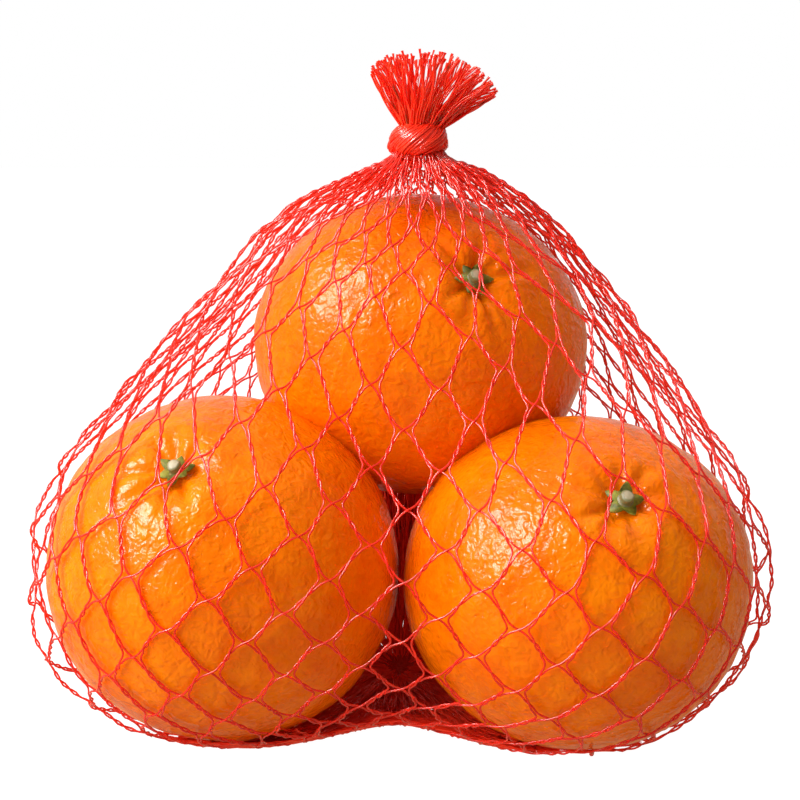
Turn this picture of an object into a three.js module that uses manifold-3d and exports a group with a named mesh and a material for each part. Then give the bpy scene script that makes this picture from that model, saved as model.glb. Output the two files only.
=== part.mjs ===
// A knitted net bag drawn tight over mandarins and tied in a knot at the top.
// Millimetres, +Z up, the front of the bag towards -Y, the table at Z = 0.
import * as THREE from 'three';
import { mergeVertices } from 'three/addons/utils/BufferGeometryUtils.js';
import Module from 'manifold-3d';

// Fruit inside the bag, which give the net its bulges: centre and half sizes.
const MANDARINS = [
  { at: [-33.7, -5.1, 32.2], half: [33.6, 33.0, 33.0] },
  { at: [33.6, -9.1, 30.4], half: [33.0, 32.5, 31.5] },
  { at: [3.9, 13.4, 73.1], half: [32.6, 28.0, 29.5] },
];
const NET_STAND_OFF = 0.6;

// Slack net at the sides: height, half width, half depth and middle in x of each hoop.
const SLACK_HOOPS = [
  { z: 2.7, half: 52.0, deep: 12, middle: 0.0 },
  { z: 11.5, half: 64.0, deep: 12, middle: -0.3 },
  { z: 20.0, half: 69.2, deep: 12, middle: 0.2 },
  { z: 31.0, half: 71.0, deep: 12, middle: 0.2 },
  { z: 40.3, half: 69.9, deep: 10, middle: -0.4 },
  { z: 51.4, half: 64.6, deep: 8, middle: -0.5 },
  { z: 96.4, half: 28.8, deep: 9, middle: 2.0 },
  { z: 102.0, half: 21.6, deep: 8, middle: 2.6 },
  { z: 107.7, half: 11.4, deep: 5, middle: 4.4 },
  { z: 109.5, half: 6.2, deep: 4.5, middle: 3.8 },
];
const HOOP_LOW_Y = -9.1;
const HOOP_LEAN_FROM = 31;

// Where the net closes: under the knot, and in the gather behind the two lower fruit.
const NECK = [3.5, 3.4, 110];
const GATHER = [0, 15.9, 9];
const CORE_SHARE = 0.4;

// The net sinks a little into the hollows between the fruit: most depth, half width and height of its end.
const NET_SINK = 6;
const NET_SINK_WIDTH = 28;
const SINK_FADE = [104, 90];
const GATHER_CALM = 15;

// Below the net the solid follows the fruit further down, at the front and back and above the foot.
const HOLLOW = 30;
const HOLLOW_FACING = [0.3, 0.7];
const HOLLOW_RISE = [8, 34];

// The mesh of the net: wales round the bag, strand length, and the relief of a strand.
const WALES = 26;
const STRAND = { low: 9.2, high: 11, neck: 4.8 };
const STRAND_FADE = [-20, 45];
const NECK_FADE = [58, 76];
const FIRST_LATITUDE = 84;
const LAST_LATITUDE = -84;
const WALE_TURN = 0.3;
const OPEN_LOW = 0.08;
const OPEN_LOW_FADE = [-0.5, 0.3];
const OPEN_HIGH = [0.58, 0.05];
const OPEN_FADE = [10, 60];
const STRAND_INSET = 0.17;
const STRAND_RELIEF = 0.9;
const GATHER_PUCKER = 0.3;

// Knot: two bands wound round the neck, the second one slanting up to the right.
const KNOT_AT = [3.5, 3.4, 113.2];
const KNOT_BANDS = [
  { ring: [3.35, 3.0], tube: [2.4, 2.85], tilt: 6, pleats: 9 },
  { ring: [3.55, 3.3], tube: [2.15, 1.95], tilt: 21, pleats: 7 },
];
const KNOT_PLEAT = 0.06;
const NECK_CORE = { radius: 4.1, low: 106, high: 117.5 };

// Tassel: the cut end of the net, fanned out above the knot.
const TASSEL_AT = [4.0, 3.4, 116];
const TASSEL_BASE = [3.5, 2.9];
const TASSEL_LEAN = 14;
const TASSEL_SPREAD = 40;
const TASSEL_DEPTH_SPREAD = 20;
const TASSEL_LENGTH = [13, 15.3];
const TASSEL_PLEATS = 22;
const TASSEL_PLEAT = 0.4;
const TASSEL_JAG = 0.9;
const TASSEL_HOLLOW = 1.6;

// The table that the two lower fruit rest on: width and thickness of the box that stands for it.
const TABLE = [400, 100];

// Fineness of the directions and samples that the net's surface is worked out on.
const NORMAL_COUNT = 5000;
const GRID_ROWS = 181;
const GRID_COLUMNS = 360;
const RING_SAMPLES = 180;

const rad = THREE.MathUtils.degToRad;

/** Smooth step from 0 at `from` to 1 at `to`, which may lie either way round. */
function ease(value, [from, to]) {
  const t = Math.min(1, Math.max(0, (value - from) / (to - from)));
  return t * t * (3 - 2 * t);
}

/** Repeatable value between 0 and 1 for a whole number. */
function hash(n) {
  const v = Math.sin(n * 127.1 + 11.7) * 43758.5453;
  return v - Math.floor(v);
}

/** Evenly spread unit directions. */
function unitDirections(count) {
  const list = [];
  for (let i = 0; i < count; i += 1) {
    const z = 1 - (2 * (i + 0.5)) / count;
    const turn = Math.PI * (1 + Math.sqrt(5)) * (i + 0.5);
    const r = Math.sqrt(1 - z * z);
    list.push([r * Math.cos(turn), r * Math.sin(turn), z]);
  }
  return list;
}

/** Farthest reach of the fruit and the slack hoops in direction n. */
function support(n) {
  let most = -Infinity;
  for (const { at, half } of MANDARINS) {
    const spread = Math.hypot(...n.map((v, k) => v * (half[k] + NET_STAND_OFF)));
    most = Math.max(most, n[0] * at[0] + n[1] * at[1] + n[2] * at[2] + spread);
  }
  for (const { z, half, deep, middle } of SLACK_HOOPS) {
    const t = Math.max((z - HOOP_LEAN_FROM) / (NECK[2] - HOOP_LEAN_FROM), 0);
    const y = HOOP_LOW_Y + (NECK[1] - HOOP_LOW_Y) * t;
    const spread = Math.hypot(n[0] * half, n[1] * deep);
    most = Math.max(most, n[0] * middle + n[1] * y + n[2] * z + spread);
  }
  return most;
}

const axis = new THREE.Vector3(...NECK).sub(new THREE.Vector3(...GATHER)).normalize();
const core = new THREE.Vector3(...GATHER).lerp(new THREE.Vector3(...NECK), CORE_SHARE);
const side = new THREE.Vector3(0, 1, 0).cross(axis).normalize();
const back = axis.clone().cross(side);

/** Unit direction from the core at a latitude and longitude about the bag's axis. */
function direction(latitude, longitude) {
  const flat = Math.cos(latitude);
  return new THREE.Vector3()
    .addScaledVector(back, Math.cos(longitude) * flat)
    .addScaledVector(side, Math.sin(longitude) * flat)
    .addScaledVector(axis, Math.sin(latitude));
}

/** Distance from a point to the nearest fruit, to first order. */
function gapTo(point) {
  let least = Infinity;
  for (const { at, half } of MANDARINS) {
    const r = half.map((v) => v + NET_STAND_OFF);
    const q = [point.x - at[0], point.y - at[1], point.z - at[2]].map((v, k) => v / r[k]);
    const size = Math.hypot(...q);
    const slope = Math.hypot(...q.map((v, k) => v / r[k]));
    least = Math.min(least, (size * (size - 1)) / Math.max(slope, 1e-9));
  }
  return least;
}

/** Depth below the tight hull at a point between the fruit, which nears `most` over a wide gap. */
function depthAt(point, most) {
  const gap = Math.max(gapTo(point), 0);
  const calm = 1 - Math.exp(-((point.distanceTo(new THREE.Vector3(...GATHER)) / GATHER_CALM) ** 2));
  return most * (1 - Math.exp(-gap / most)) * calm * ease(point.z, SINK_FADE);
}

/** How far the net sinks below its tight hull. */
function netDepth(point) {
  return depthAt(point, NET_SINK) * Math.exp(-((point.x / NET_SINK_WIDTH) ** 2));
}

/** How far the solid sinks below the net's tight hull. */
function bodyDepth(point) {
  const facing = Math.abs(point.y - core.y) / Math.hypot(point.x - core.x, point.y - core.y);
  const share = ease(facing, HOLLOW_FACING) * ease(point.z, HOLLOW_RISE);
  const shallow = netDepth(point);
  return shallow + Math.max(depthAt(point, HOLLOW) - shallow, 0) * share;
}

/** Direction of a cell of the grid of latitude and longitude. */
function cellDirection(i, j) {
  return direction(Math.PI * (i / (GRID_ROWS - 1) - 0.5), (2 * Math.PI * j) / GRID_COLUMNS);
}

/** Radius of the tight hull from the core on a grid of latitude and longitude. */
function hullGrid() {
  const normals = unitDirections(NORMAL_COUNT);
  const heights = normals.map((n) => support(n) - n[0] * core.x - n[1] * core.y - n[2] * core.z);
  const grid = new Float64Array(GRID_ROWS * GRID_COLUMNS);
  for (let i = 0; i < GRID_ROWS; i += 1) {
    for (let j = 0; j < GRID_COLUMNS; j += 1) {
      const d = cellDirection(i, j);
      let radius = Infinity;
      for (let k = 0; k < NORMAL_COUNT; k += 1) {
        const n = normals[k];
        const dot = d.x * n[0] + d.y * n[1] + d.z * n[2];
        if (dot > 0.02) {
          radius = Math.min(radius, heights[k] / dot);
        }
      }
      grid[i * GRID_COLUMNS + j] = radius;
    }
  }
  return grid;
}

/** The hull's radii less a depth that is worked out at each point of it. */
function sunkGrid(hull, depthOf) {
  return hull.map((radius, k) => {
    const d = cellDirection(Math.floor(k / GRID_COLUMNS), k % GRID_COLUMNS);
    return radius - depthOf(core.clone().addScaledVector(d, radius));
  });
}

const hull = hullGrid();
const netGrid = sunkGrid(hull, netDepth);
const bodyGrid = sunkGrid(hull, bodyDepth);

/** Point of a grid's surface in a unit direction from the core, sunk inwards by `drop`. */
function onGrid(grid, d, drop = 0) {
  const latitude = Math.asin(THREE.MathUtils.clamp(d.dot(axis), -1, 1));
  const longitude = Math.atan2(d.dot(side), d.dot(back));
  const u = (latitude / Math.PI + 0.5) * (GRID_ROWS - 1);
  const v = ((longitude / (2 * Math.PI) + 1) % 1) * GRID_COLUMNS;
  const i = Math.min(Math.floor(u), GRID_ROWS - 2);
  const j = Math.floor(v) % GRID_COLUMNS;
  const next = (j + 1) % GRID_COLUMNS;
  const along = (row) => {
    const a = grid[row * GRID_COLUMNS + j];
    const b = grid[row * GRID_COLUMNS + next];
    return a + (b - a) * (v - Math.floor(v));
  };
  const radius = along(i) + (along(i + 1) - along(i)) * (u - i);
  return core.clone().addScaledVector(d, radius - drop);
}

/** One point per wale round the net at a latitude, the wales set wider over the front. */
function hoop(latitude, phase) {
  const ring = [];
  for (let k = 0; k < RING_SAMPLES; k += 1) {
    ring.push(onGrid(netGrid, direction(latitude, (2 * Math.PI * k) / RING_SAMPLES)));
  }
  const lengths = [0];
  for (let k = 0; k < RING_SAMPLES; k += 1) {
    const a = ring[k];
    const b = ring[(k + 1) % RING_SAMPLES];
    const out = a.clone().add(b).multiplyScalar(0.5).sub(core);
    out.addScaledVector(axis, -out.dot(axis)).normalize();
    const front = -out.dot(back);
    const high = ease(THREE.MathUtils.radToDeg(latitude), OPEN_FADE);
    const openHigh = Math.max(OPEN_HIGH[0] * front, -OPEN_HIGH[1] * front);
    const open = (1 - high) * OPEN_LOW * ease(front, OPEN_LOW_FADE) + high * openHigh;
    lengths.push(lengths[k] + a.distanceTo(b) * (1 - open));
  }
  const total = lengths[RING_SAMPLES];
  const points = [];
  for (let w = 0; w < WALES; w += 1) {
    const want = (((w + phase) / WALES) * total) % total;
    let k = 0;
    while (lengths[k + 1] < want) {
      k += 1;
    }
    const share = (want - lengths[k]) / (lengths[k + 1] - lengths[k]);
    points.push(ring[k].clone().lerp(ring[(k + 1) % RING_SAMPLES], share));
  }
  return points;
}

/** Mean length of the strands that join two neighbouring rows. */
function meanStrand(upper, lower, lowerIsOdd) {
  let sum = 0;
  for (let w = 0; w < WALES; w += 1) {
    const other = (w + (lowerIsOdd ? WALES - 1 : 1)) % WALES;
    sum += upper[w].distanceTo(lower[w]) + upper[w].distanceTo(lower[other]);
  }
  return sum / (2 * WALES);
}

/** Strand length at a latitude in degrees: shorter where the net is drawn in towards the neck. */
function strandAt(degrees) {
  const { low, high, neck } = STRAND;
  return low + (high - low) * ease(degrees, STRAND_FADE) + (neck - high) * ease(degrees, NECK_FADE);
}

/** Rows of junctions from the neck to the gather, each one strand below the last. */
function junctionRows() {
  let latitude = rad(FIRST_LATITUDE);
  const rows = [hoop(latitude, WALE_TURN)];
  const least = rad(LAST_LATITUDE);
  for (;;) {
    const odd = rows.length % 2 === 1;
    const phase = WALE_TURN + (odd ? 0.5 : 0);
    const upper = rows[rows.length - 1];
    let low = Math.max(latitude - rad(40), least);
    let high = latitude;
    const strand = strandAt(THREE.MathUtils.radToDeg(latitude));
    if (meanStrand(upper, hoop(low, phase), odd) < strand) {
      return rows;
    }
    for (let step = 0; step < 14; step += 1) {
      const middle = (low + high) / 2;
      if (meanStrand(upper, hoop(middle, phase), odd) > strand) {
        low = middle;
      } else {
        high = middle;
      }
    }
    latitude = (low + high) / 2;
    rows.push(hoop(latitude, phase));
  }
}

/** Collects points and triangles of one closed surface. */
class Surface {
  constructor() {
    this.points = [];
    this.faces = [];
  }

  point(p) {
    this.points.push(p.x, p.y, p.z);
    return this.points.length / 3 - 1;
  }

  face(a, b, c) {
    this.faces.push(a, b, c);
  }

  quad(a, b, c, d) {
    this.face(a, b, c);
    this.face(a, c, d);
  }

  /** Joins two rings of equal length; the first ring lies above the second. */
  band(upper, lower) {
    upper.forEach((a, k) => {
      const next = (k + 1) % upper.length;
      this.quad(a, lower[k], lower[next], upper[next]);
    });
  }

  solid(wasm) {
    const vertProperties = new Float32Array(this.points);
    const triVerts = new Uint32Array(this.faces);
    return new wasm.Manifold(new wasm.Mesh({ numProp: 3, vertProperties, triVerts }));
  }
}

/** The filled bag: every cell of the net is a shallow pan between four raised strands. */
function bagSurface() {
  const bag = new Surface();
  const onBody = (p, drop) => onGrid(bodyGrid, p.clone().sub(core).normalize(), drop);
  const rows = junctionRows();
  const ids = rows.map((row) => row.map((p) => bag.point(onBody(p, 0))));
  const last = rows.length - 1;
  const between = (i, w) => (i % 2 ? (w + 1) % WALES : w);
  for (let i = 1; i < last; i += 1) {
    for (let w = 0; w < WALES; w += 1) {
      const next = (w + 1) % WALES;
      const tip = between(i, w);
      const spots = [[i - 1, tip], [i, next], [i + 1, tip], [i, w]];
      const corners = spots.map(([r, k]) => rows[r][k]);
      const outer = spots.map(([r, k]) => ids[r][k]);
      const middle = corners.reduce((sum, p) => sum.add(p), new THREE.Vector3()).multiplyScalar(0.25);
      const inner = corners.map((p) => {
        return bag.point(onBody(p.clone().lerp(middle, STRAND_INSET), STRAND_RELIEF));
      });
      const hub = bag.point(onBody(middle, STRAND_RELIEF));
      for (let k = 0; k < 4; k += 1) {
        const n = (k + 1) % 4;
        bag.quad(outer[k], outer[n], inner[n], inner[k]);
        bag.face(inner[k], inner[n], hub);
      }
    }
  }
  const apex = bag.point(new THREE.Vector3(...NECK));
  const pucker = bag.point(onGrid(bodyGrid, direction(rad(-90), 0), GATHER_PUCKER));
  for (let w = 0; w < WALES; w += 1) {
    const next = (w + 1) % WALES;
    bag.face(ids[0][next], ids[1][between(0, w)], ids[0][w]);
    bag.face(apex, ids[0][next], ids[0][w]);
    bag.face(ids[last - 1][between(last, w)], ids[last][next], ids[last][w]);
    bag.face(pucker, ids[last][w], ids[last][next]);
  }
  return bag;
}

/** One band of the knot: a pleated ring about the neck, tilted in the plane of the front. */
function knotBand({ ring, tube, tilt, pleats }) {
  const steps = 30;
  const sides = 14;
  const band = new Surface();
  const rings = [];
  for (let k = 0; k < steps; k += 1) {
    const turn = (2 * Math.PI * k) / steps;
    const ids = [];
    for (let s = 0; s < sides; s += 1) {
      const around = (2 * Math.PI * s) / sides;
      const swell = 1 + KNOT_PLEAT * Math.cos(pleats * around + 2 * turn);
      const out = tube[0] * swell * Math.cos(around);
      const p = new THREE.Vector3(
        (ring[0] + out) * Math.cos(turn),
        (ring[1] + out) * Math.sin(turn),
        tube[1] * swell * Math.sin(around),
      );
      p.applyAxisAngle(new THREE.Vector3(0, 1, 0), -rad(tilt));
      ids.push(band.point(p.add(new THREE.Vector3(...KNOT_AT))));
    }
    rings.push(ids);
  }
  rings.forEach((ids, k) => {
    band.band(ids, rings[(k + 1) % steps]);
  });
  return band;
}

/** Short solid neck that joins the bag, the knot and the tassel. */
function neckCore() {
  const sides = 20;
  const neck = new Surface();
  const rings = [NECK_CORE.high, NECK_CORE.low].map((z) => {
    const ids = [];
    for (let s = 0; s < sides; s += 1) {
      const turn = (2 * Math.PI * s) / sides;
      const x = KNOT_AT[0] + NECK_CORE.radius * Math.cos(turn);
      const y = KNOT_AT[1] + NECK_CORE.radius * 0.85 * Math.sin(turn);
      ids.push(neck.point(new THREE.Vector3(x, y, z)));
    }
    return ids;
  });
  neck.band(rings[0], rings[1]);
  capEnds(neck, rings, NECK_CORE.high, NECK_CORE.low);
  return neck;
}

/** Closes a sleeve's upper and lower ring with fans about their middles at the given heights. */
function capEnds(surface, rings, topZ, lowZ) {
  const ends = [rings[0], rings[rings.length - 1]];
  const hubs = ends.map((ids, end) => {
    const hub = new THREE.Vector3();
    ids.forEach((id) => {
      hub.x += surface.points[3 * id] / ids.length;
      hub.y += surface.points[3 * id + 1] / ids.length;
    });
    hub.z = end ? lowZ : topZ;
    return surface.point(hub);
  });
  ends[0].forEach((a, k) => {
    const next = (k + 1) % ends[0].length;
    surface.face(hubs[0], a, ends[0][next]);
    surface.face(hubs[1], ends[1][next], ends[1][k]);
  });
}

/** The tassel: a flattened, pleated fan with a ragged rim. */
function tassel() {
  const steps = 6;
  const sides = 2 * TASSEL_PLEATS;
  const fan = new Surface();
  const rings = [];
  for (let k = steps; k >= 0; k -= 1) {
    const t = k / steps;
    const ids = [];
    for (let s = 0; s < sides; s += 1) {
      const turn = (2 * Math.PI * s) / sides;
      const c = Math.cos(turn);
      const d = Math.sin(turn);
      const lean = rad(TASSEL_LEAN + TASSEL_SPREAD * c);
      const deep = rad(TASSEL_DEPTH_SPREAD * d);
      const reach = TASSEL_LENGTH[0] + (TASSEL_LENGTH[1] - TASSEL_LENGTH[0]) * (1 - c * c);
      const length = (reach - TASSEL_JAG * hash(s)) * t;
      const way = new THREE.Vector3(Math.sin(lean), Math.sin(deep) * Math.cos(lean), Math.cos(lean));
      const pleat = 1 + (s % 2 ? -TASSEL_PLEAT : TASSEL_PLEAT) * t * 0.5;
      const p = new THREE.Vector3(TASSEL_BASE[0] * c, TASSEL_BASE[1] * d * pleat, 0);
      p.addScaledVector(way.normalize(), length).add(new THREE.Vector3(...TASSEL_AT));
      ids.push(fan.point(p));
    }
    rings.push(ids);
  }
  for (let k = 0; k < steps; k += 1) {
    fan.band(rings[k], rings[k + 1]);
  }
  capEnds(fan, rings, TASSEL_AT[2] + TASSEL_LENGTH[1] - TASSEL_HOLLOW, TASSEL_AT[2]);
  return fan;
}

/** Bag, knot and tassel as one solid, pressed flat where the lower fruit rest on the table. */
function netBag(wasm) {
  let whole = bagSurface().solid(wasm);
  whole = whole.add(neckCore().solid(wasm));
  for (const band of KNOT_BANDS) {
    whole = whole.add(knotBand(band).solid(wasm));
  }
  whole = whole.add(tassel().solid(wasm));
  return whole.subtract(tableTop(wasm));
}

/** The ground below Z = 0, as a wide flat box. */
function tableTop(wasm) {
  const [width, thickness] = TABLE;
  const box = new THREE.BoxGeometry(width, width, thickness).translate(0, 0, -thickness / 2);
  box.deleteAttribute('normal');
  box.deleteAttribute('uv');
  const closed = mergeVertices(box, 1e-4);
  const vertProperties = new Float32Array(closed.attributes.position.array);
  const triVerts = new Uint32Array(closed.index.array);
  return new wasm.Manifold(new wasm.Mesh({ numProp: 3, vertProperties, triVerts }));
}

/** Geometry of a joined solid. */
function geometryOf(solid) {
  const mesh = solid.getMesh();
  const geometry = new THREE.BufferGeometry();
  geometry.setAttribute('position', new THREE.BufferAttribute(new Float32Array(mesh.vertProperties), 3));
  geometry.setIndex(new THREE.BufferAttribute(new Uint32Array(mesh.triVerts), 1));
  const merged = mergeVertices(geometry, 1e-4);
  merged.computeVertexNormals();
  return merged;
}

const wasm = await Module();
wasm.setup();

const part = new THREE.Group();
part.name = 'bag_of_mandarins';
const red = new THREE.MeshStandardMaterial({ color: 0xd8401c, roughness: 0.45, metalness: 0 });
const bag = new THREE.Mesh(geometryOf(netBag(wasm)), red);
bag.name = 'net_bag';
part.add(bag);

export default part;
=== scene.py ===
"""A red knitted net bag with three mandarins, tied in a knot under a fanned tassel.

Shapes are worked out in millimetres in the part's own frame, with +X to the viewer's right,
+Y away from the viewer, +Z up and the table at Z = 0. A mesh is turned into metres when it is made.
"""

import logging
import math
from dataclasses import dataclass, field
from enum import Enum
from typing import Any, Mapping

import bmesh
import bpy
import numpy as np
from mathutils import Matrix, Vector, noise


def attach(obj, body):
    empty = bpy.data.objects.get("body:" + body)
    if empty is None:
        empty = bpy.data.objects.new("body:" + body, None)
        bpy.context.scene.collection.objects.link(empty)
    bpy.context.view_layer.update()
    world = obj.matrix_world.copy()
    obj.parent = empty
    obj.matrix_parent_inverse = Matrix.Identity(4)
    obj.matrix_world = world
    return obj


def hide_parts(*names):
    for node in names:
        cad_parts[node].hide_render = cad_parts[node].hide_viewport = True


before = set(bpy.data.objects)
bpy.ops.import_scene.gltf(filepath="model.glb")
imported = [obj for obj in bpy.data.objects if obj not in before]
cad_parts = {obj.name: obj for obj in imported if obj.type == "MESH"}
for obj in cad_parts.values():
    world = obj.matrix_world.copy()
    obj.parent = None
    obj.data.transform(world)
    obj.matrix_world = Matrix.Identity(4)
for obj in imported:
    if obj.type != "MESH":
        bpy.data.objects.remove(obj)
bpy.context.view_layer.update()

log = logging.getLogger("bag_of_mandarins")

MM = 0.001
BODY = "root"
NET_NODE = "net_bag"

Pair = tuple[float, float]
Triple = tuple[float, float, float]
Quad = tuple[float, float, float, float]
Colour = Quad
Tones = tuple[Colour, Colour]
ArrayPair = tuple[np.ndarray, np.ndarray]
ArrayTriple = tuple[np.ndarray, np.ndarray, np.ndarray]

CHANCE_WEIGHTS = (127.1, 311.7, 74.7, 189.3)
CHANCE_SHIFT = 11.7
CHANCE_SCALE = 43758.5453

WHITE: Colour = (1.0, 1.0, 1.0, 1.0)


class Slot(Enum):
    """Material slots of the record."""

    NET = "net"
    PEEL = "peel"
    CALYX = "calyx"


class Panel(Enum):
    """Sixths of the net, in turn from the front by way of the viewer's right."""

    FRONT = "net_front"
    FRONT_RIGHT = "net_front_right"
    BACK_RIGHT = "net_back_right"
    BACK = "net_back"
    BACK_LEFT = "net_back_left"
    FRONT_LEFT = "net_front_left"


class Lean(Enum):
    """Which way a strand runs as it goes down, seen from outside the bag."""

    LEFT = 1
    RIGHT = -1


class Pass(Enum):
    """How a filament gets past a junction of the net, seen from outside the bag."""

    LEFT = "left"
    RIGHT = "right"
    OVER = "over"
    UNDER = "under"


def ease(value: np.ndarray | float, start: float, end: float) -> np.ndarray:
    """Smooth step from 0 at `start` to 1 at `end`, which may lie either way round."""
    t = np.clip((np.asarray(value, float) - start) / (end - start), 0.0, 1.0)
    return t * t * (3.0 - 2.0 * t)


def bell(distance: np.ndarray | float, width: float) -> np.ndarray:
    """Bell curve that is 1 at no distance and falls off over `width`."""
    return np.exp(-((distance / width) ** 2))


def between(limits: Pair, share: Any) -> Any:
    """Value at a share of the way from the first limit to the second."""
    return limits[0] + (limits[1] - limits[0]) * share


def unit(vectors: np.ndarray) -> np.ndarray:
    """Vectors along the last axis, brought to length one."""
    return vectors / np.maximum(np.linalg.norm(vectors, axis=-1, keepdims=True), 1e-9)


def chance(*keys: float) -> float:
    """Repeatable value between 0 and 1 for a set of whole numbers."""
    mixed = sum(key * weight for key, weight in zip(keys, CHANCE_WEIGHTS)) + CHANCE_SHIFT
    return (math.sin(mixed) * CHANCE_SCALE) % 1.0


def swing(*keys: float) -> float:
    """Repeatable value between -1 and 1 for a set of whole numbers."""
    return 2.0 * chance(*keys) - 1.0


def square_to(axis: np.ndarray, guide: Triple) -> ArrayPair:
    """Two directions square to an axis and to each other.

    Args:
        axis: Unit direction.
        guide: Direction that the first result leans towards.

    Returns:
        The two unit directions.
    """
    first = unit(np.asarray(guide, float) - axis * float(np.dot(axis, guide)))
    return first, np.cross(axis, first)


def steps_of(line: np.ndarray) -> np.ndarray:
    """Length of each step of a line of points."""
    return np.linalg.norm(np.diff(line, axis=0), axis=1)


def resample(wanted: np.ndarray, spots: np.ndarray, rows: np.ndarray) -> np.ndarray:
    """Points or directions at wanted places along a line, from the rows at other spots of it."""
    return np.stack([np.interp(wanted, spots, rows[:, k]) for k in range(3)], axis=-1)


def wound(
    line: np.ndarray, first: np.ndarray, second: np.ndarray, angle: np.ndarray, radius: float
) -> ArrayPair:
    """Two lines wound about a middle line, on opposite sides of it.

    Args:
        line: Points of the middle line.
        first: Directions square to it, at which the angle is 0.
        second: Directions square to both.
        angle: Angle at each point, in a column.
        radius: Distance from the middle line.

    Returns:
        The two lines.
    """
    offset = radius * (np.cos(angle) * first + np.sin(angle) * second)
    return line + offset, line - offset


def noise_field(points: np.ndarray, size: float, offset: float) -> np.ndarray:
    """Smooth noise about 0 at each point.

    Args:
        points: Points in millimetres.
        size: Width of one swell in millimetres.
        offset: Shift that tells one field from another.

    Returns:
        One value per point, roughly between -1 and 1.
    """
    shifted = points / size + offset
    return np.fromiter((noise.noise(Vector(p)) for p in shifted), float, len(points))


class Wire:
    """A value socket that takes part in arithmetic; each operator adds a Math node."""

    def __init__(self, graph: "Graph", socket: bpy.types.NodeSocket) -> None:
        """Keeps the graph and the socket."""
        self.graph = graph
        self.socket = socket

    def _math(self, operation: str, other: Any) -> "Wire":
        """Adds one Math node."""
        return self.graph.node("ShaderNodeMath", {"operation": operation}, {0: self, 1: other})

    def __add__(self, other: Any) -> "Wire":
        """Sum."""
        return self._math("ADD", other)

    __radd__ = __add__

    def __sub__(self, other: Any) -> "Wire":
        """Difference."""
        return self._math("SUBTRACT", other)

    def __mul__(self, other: Any) -> "Wire":
        """Product."""
        return self._math("MULTIPLY", other)

    __rmul__ = __mul__


class Graph:
    """Node tree of a material or of the surround."""

    def __init__(self, owner: bpy.types.Material | bpy.types.World) -> None:
        """Takes over the owner's node tree and empties it."""
        owner.use_nodes = True
        self.owner = owner
        self.tree = owner.node_tree
        self.tree.nodes.clear()

    @classmethod
    def of_material(cls, name: str) -> "Graph":
        """Starts a new material of that name."""
        return cls(bpy.data.materials.new(name))

    def node(
        self, kind: str, settings: Mapping[str, Any], inputs: Mapping[Any, Any], output: Any = 0
    ) -> Wire:
        """Adds a node.

        Args:
            kind: The node's type.
            settings: Its properties.
            inputs: Values or wires by socket name or number.
            output: Name or number of the socket that is handed back.

        Returns:
            The chosen output socket.
        """
        made = self.tree.nodes.new(kind)
        for key, value in settings.items():
            setattr(made, key, value)
        for key, value in inputs.items():
            if isinstance(value, Wire):
                self.tree.links.new(value.socket, made.inputs[key])
            else:
                made.inputs[key].default_value = value
        return Wire(self, made.outputs[output])

    def place(self) -> Wire:
        """Object coordinates, in metres of the part's frame."""
        return self.node("ShaderNodeTexCoord", {}, {}, "Object")

    def ray(self, kind: str) -> Wire:
        """1 for light rays of one kind, such as Camera or Glossy, and 0 for the others."""
        return self.node("ShaderNodeLightPath", {}, {}, f"Is {kind} Ray")

    def direct_ray(self) -> Wire:
        """1 for rays that come straight or through clear filament from the camera."""
        return self.ray("Camera") + self.ray("Transmission")

    def cloud(self, place: Wire, size: float, detail: float = 2.0, swirl: float = 0.0) -> Wire:
        """Noise whose swells are about `size` millimetres wide, drawn out into swirls."""
        inputs = {
            "Vector": place,
            "Scale": 1.0 / (size * MM),
            "Detail": detail,
            "Roughness": 0.55,
            "Distortion": swirl,
        }
        return self.node("ShaderNodeTexNoise", {}, inputs, "Fac")

    def spread(self, value: Wire, low: float, high: float) -> Wire:
        """The part of a value between two limits, eased to run from 0 to 1."""
        limits = {"Value": value, "From Min": low, "From Max": high}
        return self.node("ShaderNodeMapRange", {"interpolation_type": "SMOOTHSTEP"}, limits)

    def slope(self, value: Wire, start: Pair, end: Pair) -> Wire:
        """A value brought straight from one pair of limits to another."""
        limits = {"From Min": start[0], "From Max": start[1], "To Min": end[0], "To Max": end[1]}
        return self.node("ShaderNodeMapRange", {}, {"Value": value, **limits})

    def blend(self, factor: Wire, first: Any, second: Any) -> Wire:
        """Mix of two colours."""
        return self.node("ShaderNodeMix", {"data_type": "RGBA"}, {0: factor, 6: first, 7: second}, 2)

    def mottled(self, broad: Wire, fine: Wire, share: float, limits: Pair, tones: Tones) -> Wire:
        """Colour between two tones.

        Args:
            broad: The noise that has `share` of the say.
            fine: The noise that has the rest.
            share: Weight of the broad noise.
            limits: Values of the joined noise at the first and at the second tone.
            tones: The two colours.

        Returns:
            The mottled colour.
        """
        return self.blend(self.spread(broad * share + fine * (1.0 - share), *limits), *tones)

    def relief(self, height: Wire, depth: float) -> Wire:
        """Normal bent by a height of 0 to 1 that stands for `depth` millimetres."""
        inputs = {"Height": height, "Strength": 1.0, "Distance": depth * MM}
        return self.node("ShaderNodeBump", {}, inputs)

    def _end(self, shader: Wire, output: str) -> None:
        """Links a shader to the tree's output node."""
        end = self.tree.nodes.new(output)
        self.tree.links.new(shader.socket, end.inputs["Surface"])

    def surface(self, inputs: Mapping[str, Any]) -> bpy.types.Material:
        """Ends the tree in a Principled shader and hands back the material."""
        self._end(self.node("ShaderNodeBsdfPrincipled", {}, inputs), "ShaderNodeOutputMaterial")
        return self.owner

    def surround(self, inputs: Mapping[str, Any]) -> bpy.types.World:
        """Ends the tree in a Background shader and hands back the world."""
        self._end(self.node("ShaderNodeBackground", {}, inputs), "ShaderNodeOutputWorld")
        return self.owner


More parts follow.
